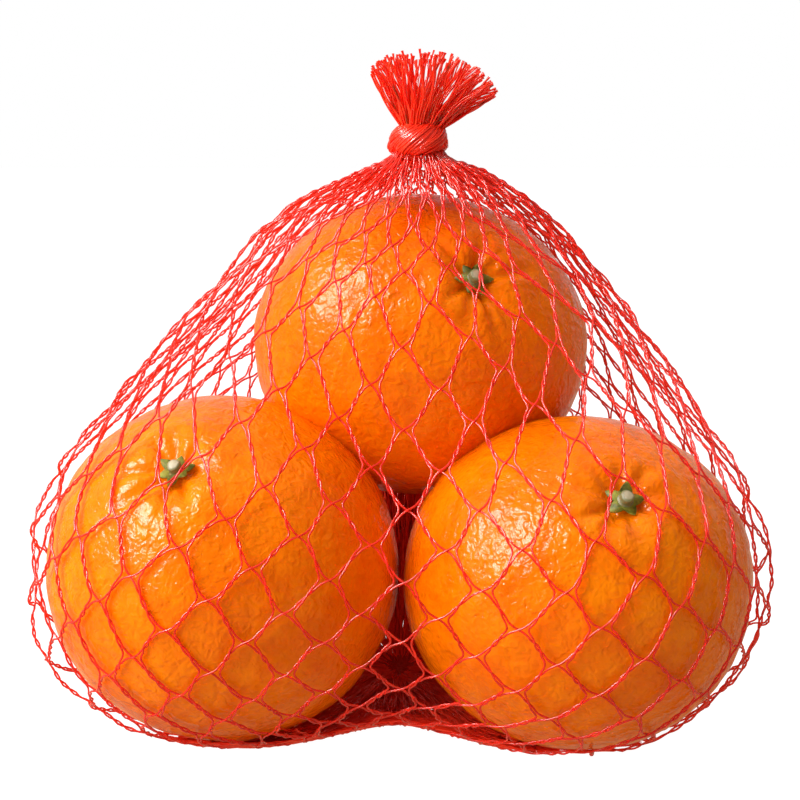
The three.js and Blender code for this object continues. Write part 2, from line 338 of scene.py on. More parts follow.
@dataclass(frozen=True)
class PeelFinish:
    """Waxy mandarin peel: mottled orange, softly rippled and finely pitted.

    Sizes are in millimetres. Heights are shares of `depth`.
    """

    tones: Tones = ((0.80, 0.146, 0.0004, 1.0), (0.88, 0.206, 0.0006, 1.0))
    tone_limits: Pair = (0.36, 0.64)
    patch_size: float = 15.0
    patch_share: float = 0.6
    mottle_size: float = 3.2
    gland: Colour = (0.74, 0.105, 0.0005, 1.0)
    gland_size: float = 1.4
    gland_limits: Pair = (0.50, 0.20)
    gland_share: float = 0.22
    pit_limits: Pair = (0.34, 0.06)
    pit_height: float = 0.05
    ripple_size: float = 3.4
    ripple_bend: float = 1.1
    ripple_height: float = 0.40
    swirl_size: float = 1.7
    swirl_bend: float = 0.9
    swirl_height: float = 0.31
    grain_size: float = 0.8
    grain_height: float = 0.08
    depth: float = 0.92
    roughness: Pair = (0.12, 0.24)
    refraction: float = 1.45
    gloss: float = 0.13

    def material(self) -> bpy.types.Material:
        """Builds the peel's material."""
        graph = Graph.of_material("mandarin_peel")
        place = graph.place()
        patch = graph.cloud(place, self.patch_size, 3.0)
        mottle = graph.cloud(place, self.mottle_size, 3.0)
        ripple = graph.cloud(place, self.ripple_size, 1.0, self.ripple_bend)
        swirl = graph.cloud(place, self.swirl_size, 1.0, self.swirl_bend)
        grain = graph.cloud(place, self.grain_size, 1.0)
        cells = {"Vector": place, "Scale": 1.0 / (self.gland_size * MM), "Randomness": 1.0}
        distance = graph.node("ShaderNodeTexVoronoi", {"feature": "F1"}, cells, "Distance")
        pit = graph.spread(distance, *self.pit_limits)
        gland = graph.spread(distance, *self.gland_limits)
        tone = graph.mottled(patch, mottle, self.patch_share, self.tone_limits, self.tones)
        height = ripple * self.ripple_height + swirl * self.swirl_height
        height += grain * self.grain_height - pit * self.pit_height
        return graph.surface({
            "Base Color": graph.blend(gland * self.gland_share, tone, self.gland),
            "Roughness": between(self.roughness, mottle),
            "Normal": graph.relief(height, self.depth),
            "IOR": self.refraction,
            "Specular IOR Level": self.gloss,
        })


@dataclass(frozen=True)
class NetFinish:
    """Glossy red filament, a little uneven in depth of colour; sizes in millimetres."""

    name: str
    tones: Tones
    gloss: float
    clearness: float = 0.0
    glow: float = 0.0
    glow_reach: Triple = (1.0, 0.10, 0.05)
    tone_limits: Pair = (0.35, 0.65)
    patch_size: float = 7.0
    patch_share: float = 0.5
    grain_size: float = 0.5
    roughness: Pair = (0.14, 0.32)
    refraction: float = 1.4

    def material(self) -> bpy.types.Material:
        """Builds the net's material."""
        graph = Graph.of_material(self.name)
        place = graph.place()
        patch = graph.cloud(place, self.patch_size)
        grain = graph.cloud(place, self.grain_size)
        return graph.surface({
            "Base Color": graph.mottled(patch, grain, self.patch_share, self.tone_limits, self.tones),
            "Roughness": between(self.roughness, grain),
            "IOR": self.refraction,
            "Specular IOR Level": self.gloss,
            "Transmission Weight": self.clearness,
            "Subsurface Weight": self.glow,
            "Subsurface Radius": self.glow_reach,
            "Subsurface Scale": MM,
        })


KNITTED_TONES: Tones = ((0.80, 0.022, 0.008, 1.0), (0.95, 0.055, 0.026, 1.0))
BUNCHED_TONES: Tones = ((0.86, 0.018, 0.004, 1.0), (0.98, 0.042, 0.010, 1.0))
# The gathered end's tones are a lighter red than the rest of the net: painted light that brightens the
# gather where it lies in shade between the fruit.
GATHERED_PAINTED_LIGHT_TONES: Tones = ((0.95, 0.030, 0.008, 1.0), (1.00, 0.060, 0.018, 1.0))

KNITTED_RED = NetFinish("red_net", KNITTED_TONES, gloss=0.45, clearness=0.52)
BUNCHED_RED = NetFinish("red_bunched", BUNCHED_TONES, gloss=0.6)
GATHERED_RED_PAINTED_LIGHT = NetFinish("red_gathered_painted_light", GATHERED_PAINTED_LIGHT_TONES, gloss=0.6)
FANNED_RED = NetFinish("red_fanned", BUNCHED_TONES, gloss=0.5, glow=0.9)


@dataclass(frozen=True)
class SepalFinish:
    """Dry olive-green calyx with paler patches and darker specks; sizes in millimetres."""

    tones: Tones = ((0.098, 0.112, 0.008, 1.0), (0.250, 0.252, 0.020, 1.0))
    tone_limits: Pair = (0.38, 0.62)
    patch_size: float = 2.6
    patch_share: float = 0.6
    fleck_size: float = 0.6
    fleck_depth: float = 0.12
    roughness: Pair = (0.50, 0.75)
    gloss: float = 0.25

    def material(self) -> bpy.types.Material:
        """Builds the calyx's material."""
        graph = Graph.of_material("olive_calyx")
        place = graph.place()
        fleck = graph.cloud(place, self.fleck_size, 4.0)
        patch = graph.cloud(place, self.patch_size)
        return graph.surface({
            "Base Color": graph.mottled(patch, fleck, self.patch_share, self.tone_limits, self.tones),
            "Roughness": between(self.roughness, fleck),
            "Normal": graph.relief(fleck, self.fleck_depth),
            "Specular IOR Level": self.gloss,
        })


@dataclass(frozen=True)
class StubFinish:
    """Stem stub: woody green side and a pale, dried cut face; sizes in millimetres."""

    side: Colour = (0.19, 0.18, 0.06, 1.0)
    face: Colour = (0.38, 0.31, 0.18, 1.0)
    face_limits: Pair = (0.25, 0.8)
    face_wear: float = 0.5
    grain_size: float = 0.7
    grain_depth: float = 0.16
    roughness: Pair = (0.45, 0.75)

    def material(self) -> bpy.types.Material:
        """Builds the stub's material; the mesh's `cut_face` attribute marks the pale top."""
        graph = Graph.of_material("stem_stub")
        place = graph.place()
        grain = graph.cloud(place, self.grain_size, 4.0)
        pale = graph.node("ShaderNodeAttribute", {"attribute_name": "cut_face"}, {}, "Fac")
        worn = pale + grain * self.face_wear - self.face_wear / 2
        return graph.surface({
            "Base Color": graph.blend(graph.spread(worn, *self.face_limits), self.side, self.face),
            "Roughness": between(self.roughness, grain),
            "Normal": graph.relief(grain, self.grain_depth),
        })


@dataclass(frozen=True)
class FruitForm:
    """One mandarin: its name, its middle, its half sizes, the way its stem points and its sepals."""

    name: str
    at: Triple
    half: Triple
    stem: Triple
    sepals: int
    seed: int

    def size_of(self, points: np.ndarray, extra: float = 0.0) -> np.ndarray:
        """Share of the fruit's half sizes at which each point lies; below 1 is inside."""
        return np.linalg.norm((points - np.array(self.at)) / (np.array(self.half) + extra), axis=-1)


LEFT_FRUIT = FruitForm("left", (-33.7, -5.1, 32.2), (33.6, 33.0, 33.0), (-0.210, -0.670, 0.710), 6, 1)
RIGHT_FRUIT = FruitForm("right", (33.6, -9.1, 30.4), (33.0, 32.5, 31.5), (0.211, -0.736, 0.643), 5, 2)
TOP_FRUIT = FruitForm("top", (3.9, 13.4, 73.1), (32.6, 28.0, 29.5), (0.355, -0.769, 0.532), 6, 3)
FRUIT = (LEFT_FRUIT, RIGHT_FRUIT, TOP_FRUIT)


@dataclass(frozen=True)
class Hoop:
    """A hoop of slack net at the bag's sides."""

    z: float
    half: float
    deep: float
    middle: float


SLACK_HOOPS = (
    Hoop(2.7, 53.2, 12, -0.9),
    Hoop(11.5, 64.9, 12, -0.9),
    Hoop(20.0, 69.6, 12, -0.1),
    Hoop(31.0, 71.0, 12, 0.2),
    Hoop(40.3, 69.9, 10, -0.4),
    Hoop(51.4, 65.2, 8, -0.5),
    Hoop(79.5, 43.6, 9, 2.2),
    Hoop(96.4, 30.2, 9, 2.0),
    Hoop(102.0, 22.4, 8, 2.6),
    Hoop(107.7, 11.4, 5, 4.4),
    Hoop(109.5, 6.2, 4.5, 3.8),
)


@dataclass
class NetSurface:
    """The surface that the net is drawn over, as a distance from the bag's core by direction."""

    neck: Triple = (3.5, 3.4, 110.0)
    gather: Triple = (0.0, 15.9, 9.0)
    core_share: float = 0.4
    stand_off: float = 0.9
    hoop_low_y: float = -9.1
    hoop_lean_from: float = 31.0
    sink_most: float = 6.0
    sink_width: float = 28.0
    sink_fade: Pair = (104.0, 90.0)
    gather_calm: float = 15.0
    normal_count: int = 5000
    rows: int = 181
    columns: int = 360
    block: int = 2000
    least_slope: float = 0.02
    normal_step: float = 0.02
    axis_nudge: float = 0.01
    grid: np.ndarray = field(init=False)

    def __post_init__(self) -> None:
        """Works out the bag's axes and samples the surface on a grid."""
        neck, gather = np.array(self.neck), np.array(self.gather)
        self.axis = unit(neck - gather)
        self.core = gather + self.core_share * (neck - gather)
        self.side = unit(np.cross((0.0, 1.0, 0.0), self.axis))
        self.back = np.cross(self.axis, self.side)
        latitude, longitude = np.meshgrid(
            np.linspace(-math.pi / 2, math.pi / 2, self.rows),
            np.arange(self.columns) / self.columns * 2 * math.pi,
            indexing="ij",
        )
        ways = self.direction(latitude.ravel(), longitude.ravel())
        reach = self._tight_reach(ways)
        reach -= self._sink(self.core + ways * reach[:, None])
        self.grid = reach.reshape(self.rows, self.columns)

    def direction(self, latitude: np.ndarray, longitude: np.ndarray) -> np.ndarray:
        """Unit directions from the core at latitudes and longitudes about the bag's axis."""
        flat = np.cos(longitude)[..., None] * self.back + np.sin(longitude)[..., None] * self.side
        return flat * np.cos(latitude)[..., None] + self.axis * np.sin(latitude)[..., None]

    def _support(self, normals: np.ndarray) -> np.ndarray:
        """Farthest reach of the fruit and the slack hoops along each normal."""
        reaches = []
        for fruit in FRUIT:
            spread = np.linalg.norm(normals * (np.array(fruit.half) + self.stand_off), axis=1)
            reaches.append(normals @ np.array(fruit.at) + spread)
        for hoop in SLACK_HOOPS:
            share = max((hoop.z - self.hoop_lean_from) / (self.neck[2] - self.hoop_lean_from), 0.0)
            y = self.hoop_low_y + (self.neck[1] - self.hoop_low_y) * share
            spread = np.hypot(normals[:, 0] * hoop.half, normals[:, 1] * hoop.deep)
            reaches.append(normals @ np.array((hoop.middle, y, hoop.z)) + spread)
        return np.max(reaches, axis=0)

    def _tight_reach(self, ways: np.ndarray) -> np.ndarray:
        """Distance from the core to the tight hull in each direction."""
        index = np.arange(self.normal_count) + 0.5
        z = 1.0 - 2.0 * index / self.normal_count
        turn = math.pi * (1.0 + math.sqrt(5.0)) * index
        r = np.sqrt(1.0 - z * z)
        normals = np.stack([r * np.cos(turn), r * np.sin(turn), z], axis=-1)
        heights = self._support(normals) - normals @ self.core
        reach = np.empty(len(ways))
        for start in range(0, len(ways), self.block):
            part = slice(start, start + self.block)
            slopes = ways[part] @ normals.T
            ratio = heights / np.maximum(slopes, self.least_slope)
            reach[part] = np.where(slopes > self.least_slope, ratio, np.inf).min(axis=1)
        return reach

    def _sink(self, points: np.ndarray) -> np.ndarray:
        """How far the net sinks below its tight hull at points between the fruit."""
        gap = np.full(len(points), np.inf)
        for fruit in FRUIT:
            half = np.array(fruit.half) + self.stand_off
            q = (points - np.array(fruit.at)) / half
            size = np.linalg.norm(q, axis=1)
            slope = np.linalg.norm(q / half, axis=1)
            gap = np.minimum(gap, size * (size - 1.0) / np.maximum(slope, 1e-9))
        depth = self.sink_most * (1.0 - np.exp(-np.maximum(gap, 0.0) / self.sink_most))
        depth *= ease(points[:, 2], *self.sink_fade) * bell(points[:, 0], self.sink_width)
        off = np.linalg.norm(points - np.array(self.gather), axis=1)
        return depth * (1.0 - bell(off, self.gather_calm))

    def over(self, points: np.ndarray) -> np.ndarray:
        """Points of the net in the directions of other points, seen from the core."""
        ways = unit(points - self.core)
        latitude = np.arcsin(np.clip(ways @ self.axis, -1.0, 1.0))
        longitude = np.mod(np.arctan2(ways @ self.side, ways @ self.back), 2 * math.pi)
        u = (latitude / math.pi + 0.5) * (self.rows - 1)
        v = longitude / (2 * math.pi) * self.columns
        i = np.clip(u.astype(int), 0, self.rows - 2)
        j = v.astype(int) % self.columns
        k = (j + 1) % self.columns
        fu, fv = u - i, v - np.floor(v)
        low = self.grid[i, j] * (1.0 - fv) + self.grid[i, k] * fv
        high = self.grid[i + 1, j] * (1.0 - fv) + self.grid[i + 1, k] * fv
        return self.core + ways * (low + (high - low) * fu)[..., None]

    def normals(self, points: np.ndarray) -> np.ndarray:
        """Outward normals of the net at points on it."""
        ways = unit(points - self.core)
        first = unit(np.cross(ways, self.axis + self.axis_nudge * self.side))
        slopes = []
        for aside in (first, np.cross(ways, first)):
            step = aside * self.normal_step
            slopes.append(self.over(self.core + ways + step) - self.over(self.core + ways - step))
        normal = unit(np.cross(*slopes))
        return normal * np.sign(np.sum(normal * ways, axis=-1, keepdims=True))


@dataclass
class NetLattice:
    """Junctions of the net in rows from the neck to the gather, `wales` of them to a row."""

    surface: NetSurface
    wales: int = 30
    strand: Triple = (8.3, 9.4, 4.6)
    strand_fade: Pair = (-20.0, 45.0)
    neck_fade: Pair = (58.0, 76.0)
    first_latitude: float = 84.0
    last_latitude: float = -84.0
    wale_turn: float = 0.3
    open_low: float = 0.42
    close_sides: float = 0.55
    side_width: float = 0.28
    open_back: float = 0.16
    front_fade: Pair = (-0.5, 0.3)
    back_fade: Pair = (0.3, 0.8)
    open_high: Pair = (0.58, 0.05)
    open_fade: Pair = (10.0, 60.0)
    hang: float = 16.0
    hang_fade: Quad = (-86.0, -25.0, 0.0, 60.0)
    slide: float = 2.0
    slide_at: float = 0.68
    slide_power: int = 6
    slide_fade: Pair = (-60.0, 20.0)
    ring_samples: int = 180
    window: float = 40.0
    halvings: int = 14

    def _weight(self, front: np.ndarray, level: float) -> np.ndarray:
        """How close the wales lie round a row.

        Args:
            front: How far each spot of the row faces the front, from -1 to 1.
            level: The row's latitude in degrees.

        Returns:
            Wales to a length, where 1 is a plain spacing.
        """
        high = ease(level, *self.open_fade)
        low_open = self.open_low * ease(front, *self.front_fade)
        low_open += self.open_back * ease(-front, *self.back_fade)
        low_open -= self.close_sides * bell(front, self.side_width)
        high_open = np.maximum(self.open_high[0] * front, -self.open_high[1] * front)
        return 1.0 - (1.0 - high) * low_open - high * high_open

    def hoop(self, latitude: float, phase: float) -> np.ndarray:
        """One point per wale round the net at a latitude, the wales set wider over the front.

        Args:
            latitude: Latitude of the row at the front and the back, from which it rises to the sides.
            phase: Share of a wale by which the row is turned.

        Returns:
            The row's points.
        """
        net = self.surface
        turns = np.arange(self.ring_samples) / self.ring_samples * 2 * math.pi
        start, full, still, end = self.hang_fade
        level = math.degrees(latitude)
        hang = math.radians(self.hang) * float(ease(level, start, full) * ease(level, end, still))
        ring = net.over(net.core + net.direction(latitude + hang * np.sin(turns) ** 2, turns))
        closed = np.vstack([ring, ring[:1]])
        out = (closed[1:] + closed[:-1]) / 2 - net.core
        out = unit(out - (out @ net.axis)[:, None] * net.axis)
        steps = steps_of(closed) * self._weight(-(out @ net.back), level)
        along = np.concatenate([[0.0], np.cumsum(steps)])
        share = (np.arange(self.wales) + phase) / self.wales
        slide = self.slide * np.interp(level, self.slide_fade, (1.0, 0.0)) / self.wales
        share -= slide * np.cos(math.pi * (share - self.slide_at)) ** self.slide_power
        return resample(np.mod(share * along[-1], along[-1]), along, closed)

    @staticmethod
    def _mean_strand(upper: np.ndarray, lower: np.ndarray, lower_is_odd: bool) -> float:
        """Mean length of the strands that join two neighbouring rows."""
        other = np.roll(lower, 1 if lower_is_odd else -1, axis=0)
        strands = np.concatenate([upper - lower, upper - other])
        return float(np.linalg.norm(strands, axis=1).mean())

    def _strand_at(self, degrees: float) -> float:
        """Strand length at a latitude: shorter where the net is drawn in towards the neck."""
        low, high, neck = self.strand
        length = low + (high - low) * ease(degrees, *self.strand_fade)
        return float(length + (neck - high) * ease(degrees, *self.neck_fade))

    def rows(self) -> np.ndarray:
        """Rows of junctions, each about one strand below the last.

        Returns:
            Points in an array of rows, wales and coordinates.
        """
        latitude = math.radians(self.first_latitude)
        least = math.radians(self.last_latitude)
        rows = [self.hoop(latitude, self.wale_turn)]
        while True:
            odd = len(rows) % 2 == 1
            phase = self.wale_turn + (0.5 if odd else 0.0)
            low, high = max(latitude - math.radians(self.window), least), latitude
            strand = self._strand_at(math.degrees(latitude))
            if self._mean_strand(rows[-1], self.hoop(low, phase), odd) < strand:
                return np.array(rows)
            for _ in range(self.halvings):
                middle = (low + high) / 2
                if self._mean_strand(rows[-1], self.hoop(middle, phase), odd) > strand:
                    low = middle
                else:
                    high = middle
            latitude = (low + high) / 2
            rows.append(self.hoop(latitude, phase))


def placed(name: str, data: bpy.types.ID) -> bpy.types.Object:
    """New object of that name in the scene, at the origin."""
    made = bpy.data.objects.new(name, data)
    bpy.context.scene.collection.objects.link(made)
    return made


class Filaments:
    """Round filaments that are swept along polylines and joined into one mesh."""

    def __init__(self, name: str, radius: float, roundness: int = 0) -> None:
        """Starts an empty bundle.

        Args:
            name: Name of the piece.
            radius: Filament radius in millimetres.
            roundness: Bevel resolution of the sweep.
        """
        self.name = name
        self.curve = bpy.data.curves.new(name, "CURVE")
        self.curve.dimensions = "3D"
        self.curve.bevel_depth = radius * MM
        self.curve.bevel_resolution = roundness
        self.curve.use_fill_caps = True

    def add(self, points: np.ndarray, thickness: np.ndarray | None = None) -> None:
        """Adds one filament.

        Args:
            points: Its line in millimetres.
            thickness: Share of the radius at each point.
        """
        spline = self.curve.splines.new("POLY")
        spline.points.add(len(points) - 1)
        rows = np.column_stack([points * MM, np.ones(len(points))])
        spline.points.foreach_set("co", rows.astype(np.float32).ravel())
        if thickness is not None:
            spline.points.foreach_set("radius", thickness.astype(np.float32))

    def mesh_object(self) -> bpy.types.Object:
        """Turns the bundle into a mesh object in the scene."""
        holder = placed(self.name + "_lines", self.curve)
        graph = bpy.context.evaluated_depsgraph_get()
        mesh = bpy.data.meshes.new_from_object(holder.evaluated_get(graph))
        bpy.data.objects.remove(holder)
        bpy.data.curves.remove(self.curve)
        mesh.name = self.name
        return placed(self.name, mesh)


def dress(piece: bpy.types.Object, material: bpy.types.Material) -> None:
    """Gives a piece its material, smooth shading and its place in the frame.

    Args:
        piece: Finished mesh object.
        material: Its only material.
    """
    piece.data.materials.clear()
    piece.data.materials.append(material)
    piece.data.polygons.foreach_set("use_smooth", np.ones(len(piece.data.polygons), bool))
    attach(piece, BODY)
    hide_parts(NET_NODE)
    triangles = sum(len(face.vertices) - 2 for face in piece.data.polygons)
    log.info("%s: %d triangles", piece.name, triangles)


def object_from(bm: bmesh.types.BMesh, name: str) -> bpy.types.Object:
    """Moves a bmesh in millimetres into a new mesh object in metres.

    Args:
        bm: The shape, which is freed.
        name: Name of the piece.

    Returns:
        The new object, at the origin.
    """
    bmesh.ops.scale(bm, vec=(MM, MM, MM), verts=bm.verts)
    mesh = bpy.data.meshes.new(name)
    bm.to_mesh(mesh)
    bm.free()
    return placed(name, mesh)


def spin_about_z(bm: bmesh.types.BMesh, outline: list[Any], steps: int) -> None:
    """Turns an outline of vertices and edges once about the Z axis and closes the seam.

    Args:
        bm: The shape that the outline is in.
        outline: Its vertices and edges.
        steps: Steps of the turn.
    """
    turn = {"axis": (0, 0, 1), "cent": (0, 0, 0), "angle": 2 * math.pi}
    bmesh.ops.spin(bm, geom=outline, steps=steps, use_merge=True, **turn)


def close_seams(bm: bmesh.types.BMesh) -> None:
    """Joins doubled vertices and turns all faces outwards."""
    bmesh.ops.remove_doubles(bm, verts=bm.verts, dist=1e-4)
    bmesh.ops.recalc_face_normals(bm, faces=bm.faces[:])


@dataclass(frozen=True)
class Calyx:
    """Star of pointed sepals round the stem, cupped a little, with ribs and lifted tips.

    The radius and the heights are in millimetres; the rest are shares.
    """

    sepals: int
    seed: int
    radius: float = 3.5
    uneven: float = 0.18
    notch: float = 0.58
    point: float = 1.1
    sway: float = 0.10
    rib: Pair = (0.14, 0.16)
    cup: float = 0.55
    curl: float = 2.2
    curl_change: float = 0.6
    thickness: float = 0.55
    thinning: float = 0.65
    edge: float = 0.05
    edge_steps: int = 16
    rings: int = 7
    ring_width: float = 0.12

    def _spot(self, r: float, bearing: float, on_top: bool) -> Triple:
        """Where a spot of a round disc lies on the star, on its top or its underside.

        Args:
            r: The spot's distance from the disc's middle, up to 1.
            bearing: Its bearing about the middle.
            on_top: Whether it lies on the top.

        Returns:
            Its place, with the stem along +Z.
        """
        lobe = bearing * self.sepals / (2 * math.pi)
        nearest = math.floor(lobe + 0.5)
        which = nearest % self.sepals
        away = abs(lobe - nearest) * 2.0
        notch = self.notch * self.radius
        tip = self.radius * (1.0 + self.uneven * swing(self.seed, which, 5))
        reach = r * between((notch, tip), max(1.0 - away, 0.0) ** self.point)
        bend = bearing + self.sway * swing(self.seed, which, 6) * r
        lift = self.cup * r**self.curl * (1.0 + self.curl_change * swing(self.seed, which, 7))
        lift += self.rib[0] * float(bell(away, self.rib[1])) * r - self.cup * r
        if on_top:
            lift += self.thickness * (1.0 - self.thinning * r) + self.edge
        return reach * math.cos(bend), reach * math.sin(bend), lift

    def build(self, name: str, place: Matrix) -> bpy.types.Object:
        """Builds the star from a disc of rings, at the stem end."""
        bm = bmesh.new()
        bmesh.ops.create_circle(bm, cap_ends=True, segments=self.edge_steps * self.sepals, radius=1.0)
        for _ in range(self.rings):
            faces = [face for face in bm.faces if len(face.verts) > 4]
            bmesh.ops.inset_region(bm, faces=faces, thickness=self.ring_width, use_even_offset=False)
        bmesh.ops.extrude_face_region(bm, geom=bm.faces[:], use_keep_orig=True)
        half = len(bm.verts) // 2
        for number, vert in enumerate(bm.verts):
            r = math.hypot(vert.co.x, vert.co.y)
            vert.co = self._spot(r, math.atan2(vert.co.y, vert.co.x), number >= half)
        bmesh.ops.recalc_face_normals(bm, faces=bm.faces[:])
        bmesh.ops.transform(bm, matrix=place, verts=bm.verts)
        return object_from(bm, name)


@dataclass(frozen=True)
class Stub:
    """Short stem stub with a ring at its foot and a domed, pale cut face.

    The foot's outline is in radii and millimetres of height, the head's in radii and shares of the height.
    """

    seed: int
    radius: float = 1.25
    height: float = 1.9
    foot: tuple[Pair, ...] = (
        (0.0, -0.6), (1.25, -0.6), (1.25, 0.0), (1.12, 0.22), (0.95, 0.30), (0.93, 0.45),
    )
    head: tuple[Pair, ...] = ((1.02, 0.75), (1.0, 0.88), (0.86, 0.98), (0.5, 1.05), (0.0, 1.07))
    spin_steps: int = 28
    pale_height: Pair = (0.85, 1.0)
    pale_radius: Pair = (0.95, 0.6)
    crooked: float = 0.06
    crook_turn: float = 3.0

    def build(self, name: str, place: Matrix) -> bpy.types.Object:
        """Turns the stub's outline about the stem and marks its cut face."""
        r, h = self.radius, self.height
        outline = [(x * r, z) for x, z in self.foot] + [(x * r, z * h) for x, z in self.head]
        bm = bmesh.new()
        verts = [bm.verts.new((x, 0.0, z)) for x, z in outline]
        edges = [bm.edges.new(ends) for ends in zip(verts, verts[1:])]
        spin_about_z(bm, verts + edges, self.spin_steps)
        close_seams(bm)
        heights = np.array([vert.co.z for vert in bm.verts]) / h
        radii = np.array([math.hypot(vert.co.x, vert.co.y) for vert in bm.verts]) / r
        pale = ease(heights, *self.pale_height) * ease(radii, *self.pale_radius)
        for vert in bm.verts:
            vert.co.x += self.crooked * r * math.sin(self.crook_turn * vert.co.y + self.seed)
        bmesh.ops.transform(bm, matrix=place, verts=bm.verts)
        piece = object_from(bm, name)
        attribute = piece.data.attributes.new("cut_face", "FLOAT", "POINT")
        attribute.data.foreach_set("value", pale.astype(np.float32))
        return piece


@dataclass
class Mandarin:
    """One fruit: peel with a furrowed stem end, calyx and stem stub.

    Depths, widths and reaches along the peel are in millimetres, each given as a depth with a width or as
    the least and the most of a range.
    """

    form: FruitForm
    neighbours: tuple[FruitForm, ...] = ()
    cuts: int = 110
    rest_height: float = 0.85
    rest_softness: float = 0.15
    dimple: Pair = (2.0, 5.0)
    navel: Pair = (0.9, 3.0)
    shoulder: Triple = (0.5, 8.0, 4.5)
    furrows: int = 9
    furrow_stray: float = 0.33
    furrow_depth: Pair = (0.8, 1.6)
    furrow_reach: Pair = (9.0, 18.0)
    furrow_width: Pair = (0.7, 1.2)
    furrow_start: Pair = (0.8, 3.6)
    furrow_fade: float = 0.4
    furrow_flare: Pair = (0.8, 0.09)
    lumps: tuple[Pair, ...] = ((24.0, 0.32), (9.0, 0.20), (4.2, 0.13), (2.0, 0.05))
    lump_limit: float = 0.8
    lump_keys: Pair = (17.3, 5.1)
    lump_calm: Pair = (0.55, 7.0)
    contact_gap: float = -0.9
    arc_radius: float = 32.0
    stem_guide: Triple = (1.0, 0.2, 0.1)
    calyx_rise: float = 0.75
    stub_rise: float = 0.85

    def __post_init__(self) -> None:
        """Works out the stem's directions."""
        self.stem = unit(np.array(self.form.stem))
        self.first, self.second = square_to(self.stem, self.stem_guide)

    def _furrow(self, number: int, reach: np.ndarray, bearing: np.ndarray) -> np.ndarray:
        """Depth of one furrow that runs out from the stem.

        Args:
            number: Which furrow it is.
            reach: Distance of each point from the stem, along the peel.
            bearing: Bearing of each point about the stem.

        Returns:
            Depth at each point.
        """
        key = self.form.seed * 100 + number
        middle = (number + self.furrow_stray * swing(key, 1)) / self.furrows * 2 * math.pi
        aside = reach * np.sin(bearing - middle)
        ahead = np.cos(bearing - middle) > 0
        deep = between(self.furrow_depth, chance(key, 2))
        end = between(self.furrow_reach, chance(key, 3))
        wide = between(self.furrow_width, chance(key, 4))
        fade = ease(reach, *self.furrow_start) * ease(reach, end, self.furrow_fade * end)
        flare = wide * (self.furrow_flare[0] + self.furrow_flare[1] * reach)
        return ahead * deep * fade * bell(aside, flare)

    def _relief(self, ways: np.ndarray, points: np.ndarray) -> np.ndarray:
        """How far the peel lies inside the smooth fruit.

        Args:
            ways: Unit directions from the fruit's middle.
            points: Points of the smooth fruit.

        Returns:
            Depth in millimetres; below 0 it stands out.
        """
        reach = np.arccos(np.clip(ways @ self.stem, -1.0, 1.0)) * self.arc_radius
        bearing = np.arctan2(ways @ self.second, ways @ self.first)
        depth = self.dimple[0] * bell(reach, self.dimple[1])
        for number in range(self.furrows):
            depth += self._furrow(number, reach, bearing)
        depth += self.navel[0] * bell(math.pi * self.arc_radius - reach, self.navel[1])
        height, middle, width = self.shoulder
        depth -= height * bell(reach - middle, width)
        calm = 1.0 - self.lump_calm[0] * bell(reach, self.lump_calm[1])
        for number, (size, height) in enumerate(self.lumps):
            key = self.lump_keys[0] * self.form.seed + self.lump_keys[1] * number
            swell = noise_field(points, size, key) / self.lump_limit
            depth -= height * np.clip(swell, -1.0, 1.0) * calm
        return depth

    def _press(self, points: np.ndarray) -> np.ndarray:
        """Presses the fruit against its neighbours and the table."""
        for other in self.neighbours:
            size = other.size_of(points, self.contact_gap)
            inside = size < 1.0
            middle = np.array(other.at)
            points[inside] = middle + (points[inside] - middle) / size[inside, None]
        above = (points[:, 2] - self.rest_height) / self.rest_softness
        points[:, 2] = self.rest_height + self.rest_softness * np.logaddexp(0.0, above)
        return points

    def _smooth(self, ways: np.ndarray) -> np.ndarray:
        """Points of the smooth fruit in directions from its middle."""
        spread = np.linalg.norm(ways / np.array(self.form.half), axis=-1, keepdims=True)
        return np.array(self.form.at) + ways / spread

    def build_peel(self) -> bpy.types.Object:
        """Rounds a finely divided cube into the fruit and gives it its relief."""
        bm = bmesh.new()
        bmesh.ops.create_cube(bm, size=2.0)
        bmesh.ops.subdivide_edges(bm, edges=bm.edges[:], cuts=self.cuts, use_grid_fill=True)
        piece = object_from(bm, "mandarin_" + self.form.name)
        co = np.empty(len(piece.data.vertices) * 3, np.float32)
        piece.data.vertices.foreach_get("co", co)
        ways = unit(np.tan(co.reshape(-1, 3).astype(float) / MM * math.pi / 4))
        points = self._smooth(ways)
        outward = unit((points - np.array(self.form.at)) / np.array(self.form.half) ** 2)
        points = self._press(points - outward * self._relief(ways, points)[:, None])
        piece.data.vertices.foreach_set("co", (points * MM).astype(np.float32).ravel())
        piece.data.update()
        return piece

    def _stem_place(self, rise: float) -> Matrix:
        """Place at the stem end whose +Z is the stem, `rise` above the bottom of the dimple."""
        matrix = Matrix((self.first, self.second, self.stem)).transposed().to_4x4()
        matrix.translation = Vector(self._smooth(self.stem) - self.stem * (self.dimple[0] - rise))
        return matrix

    def build(self, peel: bpy.types.Material, sepal: bpy.types.Material, stub: bpy.types.Material) -> None:
        """Builds and dresses the fruit."""
        name, seed = self.form.name, self.form.seed
        dress(self.build_peel(), peel)
        star = Calyx(self.form.sepals, seed).build("calyx_" + name, self._stem_place(self.calyx_rise))
        dress(star, sepal)
        dress(Stub(seed).build("stub_" + name, self._stem_place(self.stub_rise)), stub)


